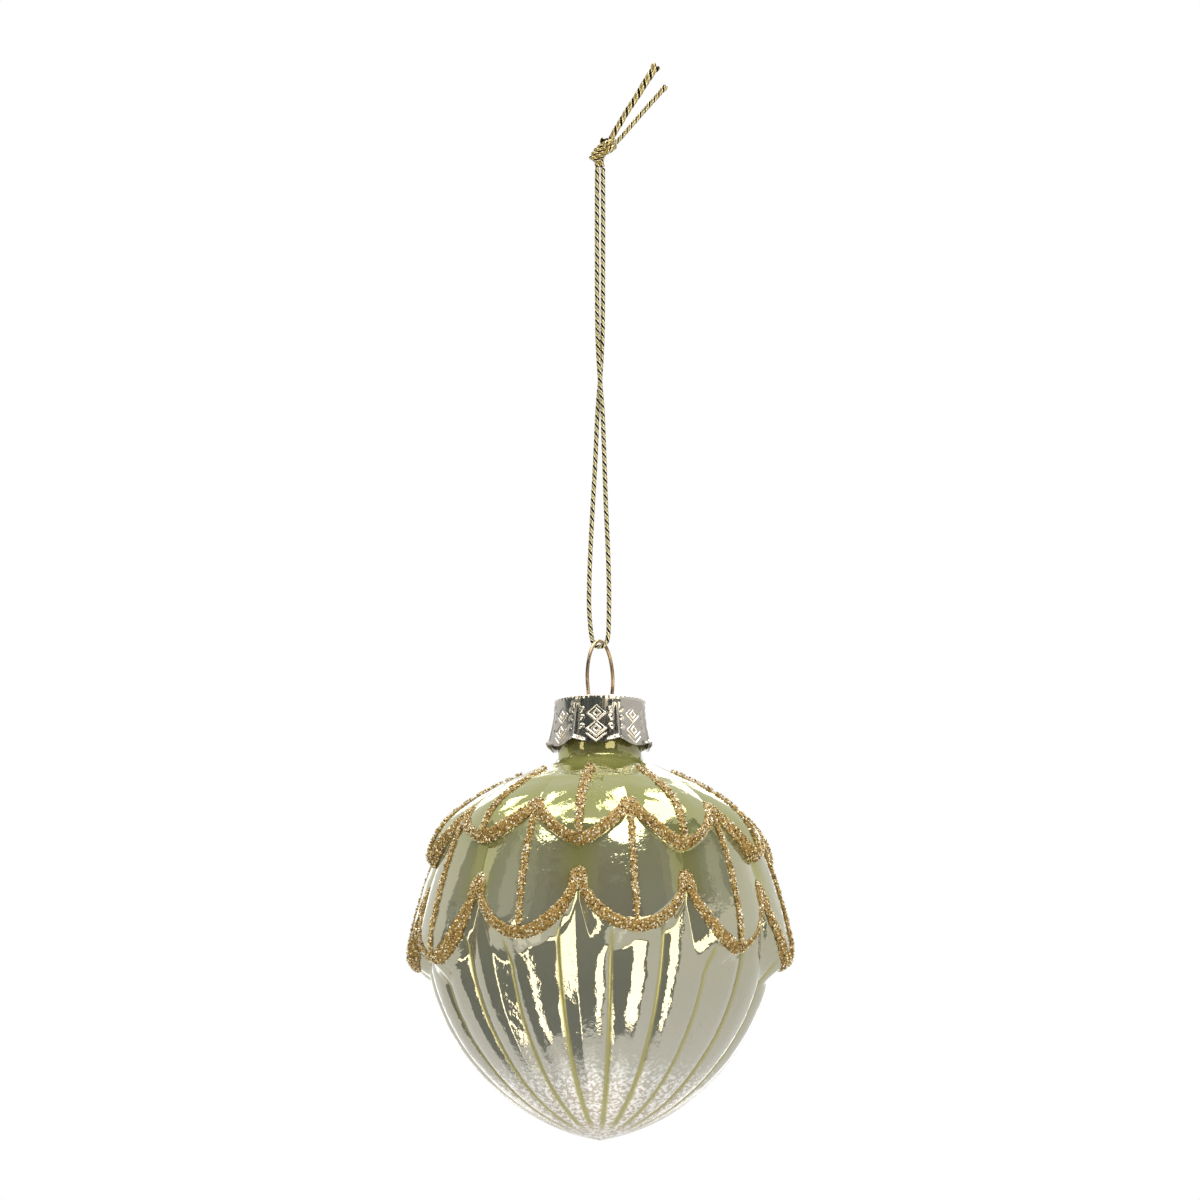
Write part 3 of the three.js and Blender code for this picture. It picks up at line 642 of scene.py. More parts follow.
def paintGlass(piece, degrees, heights):
    # height, lacquer in the creases, frosting with its painted highlight, and lacquer that has pooled
    # between the petals and on top
    below = (heights - lowerEdge(degrees)) / lowerStretch(degrees)
    halfFlute = np.radians(180 / glass["petals"]) * np.maximum(glassRadius(degrees, heights), 0.5) / 2
    fromCrease = (1 - grooveShare(degrees)) * halfFlute
    low, high, top = glass["crease"]
    creaseWidth = blend(low, high, np.clip(heights / top, 0, 1))
    groove = np.exp(-(fromCrease / creaseWidth) ** 4) * (1 - smooth(below, -3, -1)) * smooth(heights, 0.8, 3)
    notch = smooth(petalShare(degrees, glass["petalTurn"]), 0.45, 1) \
        * smooth(heights, fluteTop, lowerBulge + 8) * (1 - smooth(heights, upperTip, upperNotch))
    crown = smooth(heights, upperTip, upperTip + 8) * (1 - smooth(heights, shoulder - 3, shoulder))
    paint(piece, "height", heights / rim)
    paint(piece, "groove", groove)
    paint(piece, "frost", 1 - smooth(heights, *glass["frosted"]))
    paint(piece, "pool", np.maximum(notch, 0.5 * crown))


def silveredGlass(add):
    # Mould-blown soda glass, silvered inside and lacquered olive from the top: a mirror whose tint fades
    #  from green to bare silver. The lacquer is milky where it lies thick, towards the neck, and yellower
    #  where it pooled between the petals. Its orange peel frays what the glass mirrors, it gathers in the
    #  creases, and the cold end of the mould left fine pits with pale specks, which are partly frost and
    #  partly a painted highlight.
    height, groove, frost, pool = [add("Attribute", {"attribute_name": name}).outputs["Fac"]
                                   for name in ("height", "groove", "frost", "pool")]
    place = add("TexCoord").outputs["Object"]
    cloud = add("TexNoise", {"Scale": textureScale(glass["cloud"]), "Detail": 2.0}, {"Vector": place})
    grain = add("TexNoise", {"Scale": textureScale(glass["grain"]), "Detail": 3.0, "Roughness": 0.6},
                {"Vector": place})
    coarse = add("TexNoise", {"Scale": textureScale(glass["coarsePeel"]), "Detail": 2.0}, {"Vector": place})
    fine = add("TexNoise", {"Scale": textureScale(glass["finePeel"]), "Detail": 1.0}, {"Vector": place})
    drift = add("Math", {"operation": "MULTIPLY_ADD", 1: 0.08, 2: -0.04}, {0: cloud})
    shifted = add("Math", {"operation": "ADD"}, {0: height, 1: drift})
    tint = add("ValToRGB", {"stops": glass["tint"]}, {"Fac": shifted})
    pooled = add("Mix", {"data_type": "RGBA", "blend_type": "MULTIPLY", 7: linear(glass["pooled"])},
                 {0: pool, 6: tint}).outputs[2]
    # pale specks near the point: partly frost, partly a painted highlight
    foggy = add("Math", {"operation": "ADD"}, {0: frost, 1: grain})
    fog = add("MapRange", {"From Min": 0.95, "From Max": 1.3}, {"Value": foggy})
    speck = add("MapRange", {"From Min": 0.46, "From Max": 0.56, "To Max": 0.75}, {"Value": grain})
    whiten = add("Math", {"operation": "MULTIPLY"}, {0: fog, 1: speck})
    whitened = add("Mix", {"data_type": "RGBA", 7: linear(glass["frost"])},
                   {0: whiten, 6: pooled}).outputs[2]
    colour = add("Mix", {"data_type": "RGBA", 7: linear(glass["groove"])},
                 {0: groove, 6: whitened}).outputs[2]
    haze = add("MapRange", {"To Min": 0.04, "To Max": 0.1}, {"Value": fog})
    rough = add("Mix", {3: 0.4}, {0: groove, 2: haze})
    silvering = add("ValToRGB", {"stops": glass["silvering"]}, {"Fac": height})
    metallic = add("Mix", {3: 0.45}, {0: groove, 2: silvering})
    patch = add("MapRange", {"From Min": 0.42, "From Max": 0.62, "To Min": 0.25, "To Max": 1.3},
                {"Value": cloud})
    peel = add("Math", {"operation": "MULTIPLY"}, {0: coarse, 1: patch})
    wavy = add("Bump", {"Strength": 0.9, "Distance": 0.09 * mm}, {"Height": peel})
    peeled = add("Math", {"operation": "MULTIPLY"}, {0: fine, 1: patch})
    pits = add("Math", {"operation": "MULTIPLY"}, {0: frost, 1: grain})
    pitted = add("Math", {"operation": "MULTIPLY_ADD", 1: 10.0}, {0: pits, 2: peeled})
    bump = add("Bump", {"Strength": 0.8, "Distance": 0.026 * mm}, {"Height": pitted, "Normal": wavy})
    return add("BsdfPrincipled", {"Coat Weight": 0.3, "Coat Roughness": 0.02, "Coat IOR": 1.5},
               {"Base Color": colour, "Roughness": rough, "Metallic": metallic, "Normal": bump,
                "Coat Normal": wavy})


def makeGlass():
    degrees, heights = glassRows()
    bore = glass["neckRadius"] - glass["wall"]
    # radius and height of the rings over the rim and down the inside to the point
    inside = [(glass["neckRadius"] - 0.25, rim + 0.1), (bore + 0.25, rim + 0.12), (bore, rim - 0.3),
              (bore, shoulder), (bore + 6, shoulder - 6), (bore + 18, upperTip), (bore + 23, fluteTop),
              (bore + 19, 22), (bore + 6, 8), (0.5, 3.5)]
    rings = np.concatenate([outerPoints(degrees, heights),
                            [polar(radius, degrees, height) for radius, height in inside]])
    rows, columns = rings.shape[:2]
    rings[..., 2] += tipZ
    piece = makePiece("silveredGlassBody", rings.reshape(-1, 3), tubeFaces(rows, columns),
                      makeMaterial("silvered glass, blown and lacquered", silveredGlass),
                      "glass", ["glass_body"])
    paintGlass(piece, degrees, np.clip(rings[..., 2] - tipZ, 0, rim))
    print(f"glass made, {rows * columns} points")


makeGlass()


# Glitter lines

glitter = {
    "height": 0.45, "sunk": 0.08, "bumps": 0.05,     # of the bead of glue over and in the glass
    "grainLift": 0.08,                               # of the grains over the glue
    # width of each band, and half width and rise of its pools in the notches
    "lowerBand": {"width": 2.3, "pool": (2.1, 3.3), "seed": 3},
    "upperBand": {"width": 2.6, "pool": (2.4, 2.3), "seed": 8},
    "upperVein": (2.3, 1.5), "lowerVein": (1.4, 1.3),         # widths at top and bottom
    "veinStart": 1.3,                                # how far under the shoulder the upper ones begin
    "bandRagged": 0.13, "veinRagged": 0.12,          # shares of the width
    "wander": 0.12,                                  # of a vein from its middle line
    # grains: their length, their width and half height as shares of it, their slant, and how many
    "grain": (0.4, 0.66), "grainWidth": (0.7, 1.0), "grainHeight": 0.42, "grainLean": 0.55,
    "perSquareMm": 6.0,
    # the darker glue colour is painted shade, for the gaps between the grains
    "glue": "#BE9C58", "gap": "#74581F", "grit": 0.3,         # grit: size of the glue's pattern
    # the grains' tones; the palest of them are painted highlights
    "tonesAndGlints": [(0.0, "#644A16"), (0.14, "#94752F"), (0.3, "#C4A455"), (0.55, "#DCC484"), (0.78, "#F6E3AE"),
              (0.93, "#FFFBEA")],
}


def glitterGlue(add):
    # Clear amber glue that holds the glitter: a dull brown-gold bed seen between the grains, patched with
    # painted shade of the gaps.
    place = add("TexCoord").outputs["Object"]
    grit = add("TexNoise", {"Scale": textureScale(glitter["grit"]), "Detail": 2.0}, {"Vector": place})
    # patches of painted shade over the glue's colour
    colour = add("ValToRGB", {"stops": [(0.35, glitter["gap"]), (0.6, glitter["glue"])]}, {"Fac": grit})
    bump = add("Bump", {"Strength": 1.0, "Distance": 0.12 * mm}, {"Height": grit})
    return add("BsdfPrincipled", {"Metallic": 0.3, "Roughness": 0.5}, {"Base Color": colour, "Normal": bump})


def glitterGrains(add):
    # Coarse glass glitter, about 0.5 mm, coated gold: each grain has its own tone, and the palest few are
    # painted highlights for grains that flash.
    tone = add("Attribute", {"attribute_name": "tone"}).outputs["Fac"]
    colour = add("ValToRGB", {"stops": glitter["tonesAndGlints"]}, {"Fac": tone})
    gloss = {"Metallic": 0.2, "Roughness": 0.22, "Coat Weight": 0.7, "Coat Roughness": 0.05}
    return add("BsdfPrincipled", gloss, {"Base Color": colour})


def beadNoise(degrees, seed):
    own = np.random.default_rng(seed)
    total = np.zeros(np.shape(degrees))
    for _ in range(7):
        total = total + np.sin(np.radians(degrees) * own.integers(20, 160) + own.uniform(0, 6.3)) / 7
    return total


def grainMesh(middles, outward, start):
    # flattened eight-sided grains, tilted at random from the surface
    count = len(middles)
    size = rng.uniform(*glitter["grain"], count)[:, None]
    lean = unit(outward + rng.normal(0, glitter["grainLean"], (count, 3)))
    one = unit(np.cross(lean, rng.normal(0, 1, (count, 3))))
    two = np.cross(lean, one)
    stretch = rng.uniform(*glitter["grainWidth"], (count, 1))
    half = [one * size / 2, two * size / 2 * stretch]
    high = lean * size * glitter["grainHeight"]
    points = middles[:, None] + np.stack([*half, -half[0], -half[1], high, -high], 1)
    upper = [(0, 1, 4), (1, 2, 4), (2, 3, 4), (3, 0, 4)]
    pattern = np.array(upper + [(b, a, 5) for a, b, _ in upper])
    faces = (pattern + 6 * np.arange(count)[:, None, None]).reshape(-1, 3) + start
    return points.reshape(-1, 3), faces.tolist()


def surfaceOut(degrees, height, step=0.2, around=30.0):
    # direction out of the glass, from its slope over a step up and a step round at about this radius
    here = polar(glassRadius(degrees, height), degrees, height)
    up = polar(glassRadius(degrees, height + step), degrees, height + step) - here
    turn = np.degrees(step / around)
    side = polar(glassRadius(degrees + turn, height), degrees + turn, height) - here
    return unit(np.cross(side, up))


def beadLift(side):
    # height of the round bead of glue, from -1 at one side to 1 at the other
    return glitter["height"] * np.sqrt(np.clip(1 - side ** 2, 0, 1))


def glitterPiece(name, node, rings, beadFaces, degrees, heights, side):
    # a bead of glue with its grains, which lie at these angles and heights across the bead
    lift = beadLift(np.clip(side, -1, 1)) * rng.uniform(0.8, 1.2, len(side)) + glitter["grainLift"]
    outward = surfaceOut(degrees, heights)
    middles = polar(glassRadius(degrees, heights), degrees, heights) + outward * lift[:, None]
    beadPoints = rings.reshape(-1, 3)
    grainPoints, grainFaces = grainMesh(middles, outward, len(beadPoints))
    points = np.vstack([beadPoints, grainPoints]) + (0, 0, tipZ)
    piece = makePiece(name, points, beadFaces + grainFaces, glue, "glass", [node])
    piece.data.materials.append(grains)
    isGrain = np.arange(len(piece.data.polygons)) >= len(beadFaces)
    piece.data.polygons.foreach_set("material_index", isGrain.astype(np.int32))
    piece.data.polygons.foreach_set("use_smooth", ~isGrain)
    tone = np.repeat(rng.uniform(0, 1, len(middles)), 6)
    paint(piece, "tone", np.concatenate([np.zeros(len(beadPoints)), tone]))


def bandLimits(degrees, edge, stretch, turn, radius, width, pool, seed):
    # lowest and highest line of a glitter band, which pools in the notches
    half = width / 2 * (1 + glitter["bandRagged"] * beadNoise(degrees, seed)) * stretch(degrees)
    notch = edge(turn + 180 / glass["petals"])
    aside = (1 - petalShare(degrees, turn)) * math.pi * radius / glass["petals"]
    arch = np.sqrt(np.clip(1 - (aside / pool[0]) ** 2, 0, 1))
    middle = edge(degrees)
    high = np.maximum(middle + half, np.where(arch > 0, notch + pool[1] * arch, 0))
    return middle - half, high


def makeBand(name, node, columns=1200, **band):
    degrees = band["turn"] + np.arange(columns) * 360 / columns
    low, high = bandLimits(degrees, **band)
    rings = []
    for side in (-1, -0.85, -0.6, -0.3, 0, 0.3, 0.6, 0.85, 1):
        height = blend(low, high, (side + 1) / 2)
        lift = np.maximum(beadLift(side) + glitter["bumps"] * rng.normal(0, 1, columns), 0.02)
        rings.append(polar(glassRadius(degrees, height) + lift, degrees, height))
    for side in (0.7, 0.0, -0.7):
        height = blend(low, high, (side + 1) / 2)
        rings.append(polar(glassRadius(degrees, height) - glitter["sunk"], degrees, height))
    faces = gridFaces(len(rings), columns, wrapRows=True)
    areas = (high - low) * math.radians(360 / columns) * band["radius"]
    count = int(np.sum(areas) * glitter["perSquareMm"])
    at = np.interp(rng.uniform(0, 1, count), np.cumsum(areas) / np.sum(areas), np.arange(columns))
    around = band["turn"] + at * 360 / columns
    side = rng.uniform(-1.05, 1.05, count)
    height = blend(*bandLimits(around, **band), (side + 1) / 2)
    glitterPiece(name, node, np.array(rings), faces, around, height, side)


def makeVein(name, node, middle, top, bottom, widths, steps=90):
    share = np.linspace(0, 1, steps)
    wander = glitter["wander"] * np.sin(share * rng.uniform(5, 9) + rng.uniform(0, 6.3))
    across = np.array([-1, -0.6, 0, 0.6, 1, 0.4, -0.4])      # over the bead, then back under it
    isUnder = np.arange(len(across)) > 4
    heights = blend(top, bottom, share)
    half = blend(*widths, share) / 2 * (1 + glitter["veinRagged"] * rng.normal(0, 1, steps))
    half = half * np.sqrt(np.clip(1 - (2 * share - 1) ** 14, 0.03, 1))       # round ends
    radius = glassRadius(middle, heights)
    rings = []
    for i in range(steps):
        turn = middle + np.degrees((across * half[i] + wander[i]) / radius[i])
        over = np.maximum(beadLift(across) + glitter["bumps"] * rng.normal(0, 1, len(across)), 0.02)
        lift = np.where(isUnder, -glitter["sunk"], over)
        rings.append(polar(glassRadius(turn, heights[i]) + lift, turn, heights[i]))
    count = int((top - bottom) * 1.25 * sum(widths) / 2 * glitter["perSquareMm"])
    at = rng.uniform(0, 1, count)
    side = rng.uniform(-1.1, 1.1, count)
    height = blend(top, bottom, at)
    offset = side * np.interp(at, share, half) + np.interp(at, share, wander)
    around = middle + np.degrees(offset / glassRadius(middle, height))
    glitterPiece(name, node, np.array(rings)[::-1], tubeFaces(steps, len(across)), around, height, side)


def makeGlitter():
    makeBand("glitterLineLower", "lower_glitter_band", edge=lowerEdge, stretch=lowerStretch,
             turn=glass["petalTurn"], radius=glass["lowerRadius"], **glitter["lowerBand"])
    makeBand("glitterLineUpper", "upper_glitter_band", edge=upperEdge, stretch=upperStretch,
             turn=upperTurn, radius=upperRadius, **glitter["upperBand"])
    clear = glitter["lowerBand"]["width"] / 2
    for i in range(glass["petals"]):
        upperAngle = upperTurn + i * 360 / glass["petals"]
        lowerAngle = glass["petalTurn"] + i * 360 / glass["petals"]
        makeVein(f"glitterVeinUpper{i + 1}", f"upper_glitter_vein_{i + 1}", upperAngle,
                 shoulder - glitter["veinStart"], upperEdge(upperAngle) + clear, glitter["upperVein"])
        makeVein(f"glitterVeinLower{i + 1}", f"lower_glitter_vein_{i + 1}", lowerAngle,
                 upperNotch - clear, lowerEdge(lowerAngle) + clear, glitter["lowerVein"])
    print("glitter made")


glue = makeMaterial("amber glue, dried", glitterGlue)
grains = makeMaterial("gold glitter, coated glass", glitterGrains)
makeGlitter()


# Cap

cap = {
    "sheet": 0.35, "height": 9.2, "scallop": 1.1, "flare": 1.5, "dip": 0.55, "panels": 7, "turn": 20.9,
    "roll": 0.45, "rollProud": 0.1, "knurls": 56, "knurl": 0.05, "clearance": 0.35, "perPanel": 128,
    "holeRadius": 0.875, "legSpacing": 7.9,
    "rise": 0.17, "line": 0.14,                    # height and half width of the stamped lines
    "diamonds": (3.9, 7.2), "diamondHalf": (1.85, 1.65), "innerHalf": 0.78,
    "dots": (3.1, 4.8, 6.7), "dotSide": 2.85, "dotHalf": 0.54,
    "hem": 1.0, "curl": 0.5,                       # the panels' lower corners curl out
    "thinning": 0.05,                              # of the skirt's sheet, on each of its faces
    # the lit metal colour is a painted highlight on ridges and the rolled edge, and shade is painted shade
    # on panels, hollows and inside
    "metal": "#CFC9BF", "shade": "#999389", "drawing": 0.25, "dents": 2.2,     # the patterns' sizes
}
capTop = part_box("cap")[1].z / mm
capRadius = glass["neckRadius"] + cap["clearance"] + cap["sheet"]


def panelShare(degrees):
    # 0 in the middle of a panel, 1 at the crease beside it
    share = (degrees - cap["turn"]) / (360 / cap["panels"])
    return 2 * np.abs(share - np.floor(share) - 0.5)


def panelAcross(degrees):
    share = (degrees - cap["turn"]) / (360 / cap["panels"])
    return (share - np.floor(share) - 0.5) * 2 * math.pi * capRadius / cap["panels"]


def stampedPattern(across, below):
    # height of the stamping: two diamonds one over the other with a small one in each, and dots beside them
    wide, tall = cap["diamondHalf"]
    upright = wide * tall / math.hypot(wide, tall)           # from the middle to a side, square to it

    def ridge(distance, half=cap["line"]):
        return np.exp(-(distance / half) ** 4)

    raised = np.zeros(np.broadcast(across, below).shape)
    for middle in cap["diamonds"]:
        outer = (np.abs(across) / wide + np.abs(below - middle) / tall - 1) * upright
        inner = (np.abs(across) + np.abs(below - middle) - cap["innerHalf"]) / math.sqrt(2)
        strong = smooth(below - middle, -0.5, 0.5)           # the lower sides are struck deeper
        struck = ridge(outer, blend(0.6, 1.35, strong) * cap["line"]) * blend(0.5, 1, strong)
        raised = np.maximum(raised, np.maximum(struck, ridge(inner, 1.25 * cap["line"])))
    lowest = cap["diamonds"][1]
    chevron = (np.abs(across) / wide + (below - lowest) / tall - 1.62) * upright
    raised = np.maximum(raised, ridge(chevron) * smooth(below, lowest + 0.9, lowest + 1.3))
    for middle in cap["dots"]:
        away = np.hypot(np.abs(across) - cap["dotSide"], below - middle)
        raised = np.maximum(raised, ridge(away, cap["dotHalf"]) - 0.9 * np.exp(-(away / 0.2) ** 2))
    return raised * cap["rise"]


def stampedTin(add):
    # Thin tinplate, stamped and bright: a near mirror with faint drawing lines, painted shade on the flat
    # panels, in the hollows and inside, and a painted highlight on the stamped ridges and the rolled edge.
    raised = add("Attribute", {"attribute_name": "raised"}).outputs["Fac"]
    place = add("TexCoord").outputs["Object"]
    drawn = add("Mapping", {"Scale": (1, 1, 0.08)}, {"Vector": place})
    lines = add("TexNoise", {"Scale": textureScale(cap["drawing"]), "Detail": 3.0}, {"Vector": drawn})
    dents = add("TexNoise", {"Scale": textureScale(cap["dents"]), "Detail": 1.0}, {"Vector": place})
    # painted shade and painted highlight by the raised share
    colour = add("Mix", {"data_type": "RGBA", 6: linear(cap["shade"]), 7: linear(cap["metal"])},
                 {0: raised}).outputs[2]
    rough = add("MapRange", {"From Min": 0.3, "From Max": 0.7, "To Min": 0.14, "To Max": 0.3},
                {"Value": lines})
    scored = add("Bump", {"Strength": 0.25, "Distance": 0.02 * mm}, {"Height": lines})
    bump = add("Bump", {"Strength": 0.25, "Distance": 0.06 * mm}, {"Height": dents, "Normal": scored})
    return add("BsdfPrincipled", {"Metallic": 1.0},
               {"Base Color": colour, "Roughness": rough, "Normal": bump})


def makeCap():
    columns = cap["panels"] * cap["perPanel"]
    degrees = cap["turn"] + np.arange(columns) * 360 / columns
    share = panelShare(degrees)
    bottom = -cap["height"] - cap["scallop"] * (1 - share ** 1.5)
    rings, marks = [], []

    # raised mixes the painted shade colour with the lit metal colour: shade inside and on flat panels,
    # highlight on ridges and the roll
    def addRing(radius, height, raised):
        rings.append(polar(radius, degrees, height))
        marks.append(raised + 0 * degrees)

    def skirt(down):
        # height and radius: the panels dip between their creases, and their lower corners curl out
        height = blend(-2 * cap["roll"], bottom, down)
        curl = cap["curl"] * smooth(share, 0.35, 0.8) * (1 - smooth(height - bottom, 0, cap["hem"])) ** 1.3
        return height, capRadius + cap["flare"] * down ** 1.5 - cap["dip"] * (1 - share ** 2) * down + curl

    for radius in np.linspace(0.02, capRadius - 1.3, 12):            # the top, slightly domed
        addRing(radius, -0.06 * smooth(radius, 3, 7.5), 0.6)
    for turn in np.radians(np.linspace(-70, 100, 14)):               # the rolled and knurled edge
        struck = cap["knurl"] * max(0.0, math.cos(turn - math.radians(60)))
        knurl = struck * np.cos(np.radians(degrees) * cap["knurls"])
        out = capRadius - cap["roll"] + (cap["roll"] + cap["rollProud"]) * math.sin(turn) + knurl
        addRing(out, cap["roll"] * (math.cos(turn) - 1), 0.8)
    for down in np.linspace(0, 1, 150):                              # the stamped skirt
        height, radius = skirt(down)
        clear = smooth(-height, 1.0, 1.6) * smooth(height - bottom, 0.15, 0.35)
        pattern = stampedPattern(panelAcross(degrees), -height) * clear
        corners = 0.3 * np.exp(-((share - 0.85) / 0.16) ** 2 - ((-height - 1.7) / 0.75) ** 2)
        crease = 0.09 * np.exp(-((1 - share) / 0.045) ** 2) - 0.07 * np.exp(-((share - 0.88) / 0.05) ** 2)
        folds = corners + crease * smooth(-height, 1.0, 2.0)
        addRing(radius + pattern + folds - cap["thinning"], height, 0.35 + pattern / cap["rise"] * 0.65)
    for down in np.linspace(1, 0, 14):                               # its inside
        height, radius = skirt(down)
        addRing(radius - cap["sheet"] + cap["thinning"], height, 0.3)
    for radius in [capRadius - cap["sheet"], *np.linspace(capRadius - 1.3, 0.02, 8)]:
        addRing(radius, -cap["sheet"], 0.3)
    rings = np.array(rings)[::-1] + (0, 0, capTop)
    piece = makePiece("stampedCap", rings.reshape(-1, 3), tubeFaces(len(rings), columns),
                      makeMaterial("tinplate, stamped", stampedTin), "cap", ["cap"])
    paint(piece, "raised", np.array(marks)[::-1])
    cutHoles(piece)
    print(f"cap made, {len(rings) * columns} points")


def cutHoles(piece):
    # the two holes that the wire passes through
    sides, reach = 36, 2.0
    lie = math.radians(cord["hangerTurn"])
    cutters = []
    for away in (-cap["legSpacing"] / 2, cap["legSpacing"] / 2):
        circle = polar(cap["holeRadius"], np.arange(sides) * 360 / sides, 0.0)
        circle = circle + (away * math.cos(lie), away * math.sin(lie), capTop)
        points = np.vstack([circle - (0, 0, reach), circle + (0, 0, reach)]) * mm
        mesh = bpy.data.meshes.new("hole")
        mesh.from_pydata(points.tolist(), [], tubeFaces(2, sides))
        cutter = bpy.data.objects.new("hole", mesh)
        bpy.context.scene.collection.objects.link(cutter)
        cutters.append(cutter)
        change = piece.modifiers.new("hole", "BOOLEAN")
        change.object = cutter
        change.operation = "DIFFERENCE"
        change.solver = "EXACT"
    bpy.context.view_layer.update()
    cut = bpy.data.meshes.new_from_object(piece.evaluated_get(bpy.context.evaluated_depsgraph_get()))
    piece.modifiers.clear()
    piece.data = cut
    for cutter in cutters:
        bpy.data.objects.remove(cutter)


makeCap()


# Wire hanger

hanger = {
    "diameter": 0.75, "width": 8.94, "rise": 12.5, "widest": 4.7, "legLength": 14.2, "legClearance": 0.3,
    "nipped": 0.8, "sides": 24,                    # share of the radius left at the cut ends
    "brass": "#B7A081", "worn": "#6E5B48", "streak": 0.3, "blotch": 2.5,       # the patterns' sizes
}


def wireSide():
    # one side of the wire, out from the middle and up from the cap's top: from the top of the loop down to
    # the end of the leg
    widest, through = hanger["width"] / 2, cap["legSpacing"] / 2
    spread = glass["neckRadius"] - glass["wall"] - hanger["legClearance"] - hanger["diameter"] / 2
    straight, leg, rise, low = -2 * cap["sheet"], hanger["legLength"], hanger["rise"], hanger["widest"]
    curves = [
        ((0, rise), (0.54 * widest, rise), (widest, blend(low, rise, 0.51)), (widest, low)),
        ((widest, low), (widest, 0.55 * low), (through, 0.3 * low), (through, straight)),
        ((through, straight), (through, -0.25 * leg), (spread, -0.6 * leg), (spread, -leg)),
    ]
    t = np.linspace(0, 1, 60, endpoint=False)[:, None]
    return np.vstack([cubic(curve, t) for curve in curves] + [[(spread, -leg)]])


def brassWire(add):
    # Drawn steel wire with a thin brass wash: warm grey gold, streaked along its length.
    place = add("TexCoord").outputs["Object"]
    drawn = add("Mapping", {"Scale": (1, 1, 0.1)}, {"Vector": place})
    streaks = add("TexNoise", {"Scale": textureScale(hanger["streak"]), "Detail": 3.0}, {"Vector": drawn})
    blotch = add("TexNoise", {"Scale": textureScale(hanger["blotch"]), "Detail": 2.0}, {"Vector": place})
    colour = add("ValToRGB", {"stops": [(0.35, hanger["worn"]), (0.6, hanger["brass"])]}, {"Fac": blotch})
    rough = add("MapRange", {"To Min": 0.12, "To Max": 0.34}, {"Value": streaks})
    bump = add("Bump", {"Strength": 0.3, "Distance": 0.02 * mm}, {"Height": streaks})
    return add("BsdfPrincipled", {"Metallic": 1.0},
               {"Base Color": colour, "Roughness": rough, "Normal": bump})


def makeHanger():
    right = wireSide()
    out, up = np.vstack([right[::-1] * (-1, 1), right[1:]]).T
    lie = math.radians(cord["hangerTurn"])
    line = np.stack([out * math.cos(lie), out * math.sin(lie), up + capTop], 1)
    across = np.tile((-math.sin(lie), math.cos(lie), 0.0), (len(line), 1))
    radius = np.full(len(line), hanger["diameter"] / 2)
    radius[[0, -1]] *= hanger["nipped"]
    tube = roundTube(line, radius, across, np.cross(directions(line), across), hanger["sides"])
    makePiece("brassWireHanger", tube.reshape(-1, 3), tubeFaces(len(line), hanger["sides"]),
              makeMaterial("spring wire, brass washed", brassWire), "hanger", ["hanger_wire"])
    print("hanger made")


makeHanger()


# Studio

studio = {
    "floorZ": -0.6, "floorRadius": 4.0,          # metres, as are all the studio's places
    "worldLight": 0.62, "floorGlow": 0.7,        # shares of full white
    "distance": 2.6, "heart": -0.16,             # of the screens from the ornament, and its middle's height
    "foldStep": 0.01, "boxStep": 0.1,            # how much nearer each fold is, and how much the softboxes
    # screens by azimuth from and to, and elevation from and to, in degrees as the ornament sees them
    "cloths": {"front": ((-102, 48, -58, 49), "#5F6967"), "right": ((48, 108, 28, 49), "#5F6967")},
    # parts of the cloths that catch more light or lie in shade, each before the last
    "folds": {"leftPale": ((-104, -44, 24, 49), "#939A97"), "leftPaler": ((-82, -62, 24, 49), "#C2C6C4"),
              "rightPale": ((60, 98, 28, 45), "#828987"), "rightPaler": ((73, 90, 28, 41), "#C2C6C4"),
              "middleDark": ((-20, 30, 24, 43), "#262B2B")},
    # softboxes by colour and strength
    "boxes": [
        ("#FFF4DC", 4.5, {"leftStrip": (-59, -47, -58, 22), "rightStrip": (16, 41, -54, 22)}),
        ("#FFFDF6", 8.0, {"key": (-12, 47, 49, 58), "keySide": (-46, -26, 50, 57),
                          "overLeft": (-106, -60, 56, 82), "overRight": (40, 116, 56, 82),
                          "overLeftBack": (-150, -120, 55, 63), "overRightBack": (116, 156, 56, 72)}),
        ("#FFFFFF", 2.0, {"backLeft": (-166, -158, -25, 20), "backRight": (158, 166, -25, 20)}),
        ("#FFFFFF", 1.5, {"low": (-180, 180, -89, -75), "lowBack": (140, 214, -75, -54)}),
        ("#FFFDF6", 4.0, {"rear": (160, 200, 24, 36)}),
    ],
    # lamps that light the ornament but don't show in it: place, size and watts
    "lamps": {"keyLeft": ((-0.75, -1.35, 0.35), (0.3, 0.75), 3.2),
              "keyRight": ((0.62, -1.45, 0.3), (0.3, 0.75), 3.2),
              "top": ((0.0, -0.3, 1.3), (0.8, 0.8), 5.0)},
    "lampAim": (0, 0, -0.15), "lampColour": "#FFF8EC",
}


def makeWorld():
    # white to the camera and to reflections, and a plain level of light on everything else
    world = bpy.data.worlds.new("white studio")
    bpy.context.scene.world = world
    world.use_nodes = True
    world.node_tree.nodes.clear()
    add = partial(addNode, world.node_tree)
    ray = add("LightPath").outputs
    seen = add("Math", {"operation": "MAXIMUM"}, {0: ray["Is Camera Ray"], 1: ray["Is Glossy Ray"]})
    seen = add("Math", {"operation": "MAXIMUM"}, {0: seen, 1: ray["Is Transmission Ray"]})
    strength = add("MapRange", {"To Min": studio["worldLight"], "To Max": 1.0}, {"Value": seen})
    back = add("Background", {"Color": linear("#FFFFFF")}, {"Strength": strength})
    add("OutputWorld", {}, {"Surface": back})


def stagePiece(name, points, faces, material):
    mesh = bpy.data.meshes.new(name)
    mesh.from_pydata(points, [], faces)
    mesh.materials.append(material)
    piece = bpy.data.objects.new(name, mesh)
    bpy.context.scene.collection.objects.link(piece)
    return piece


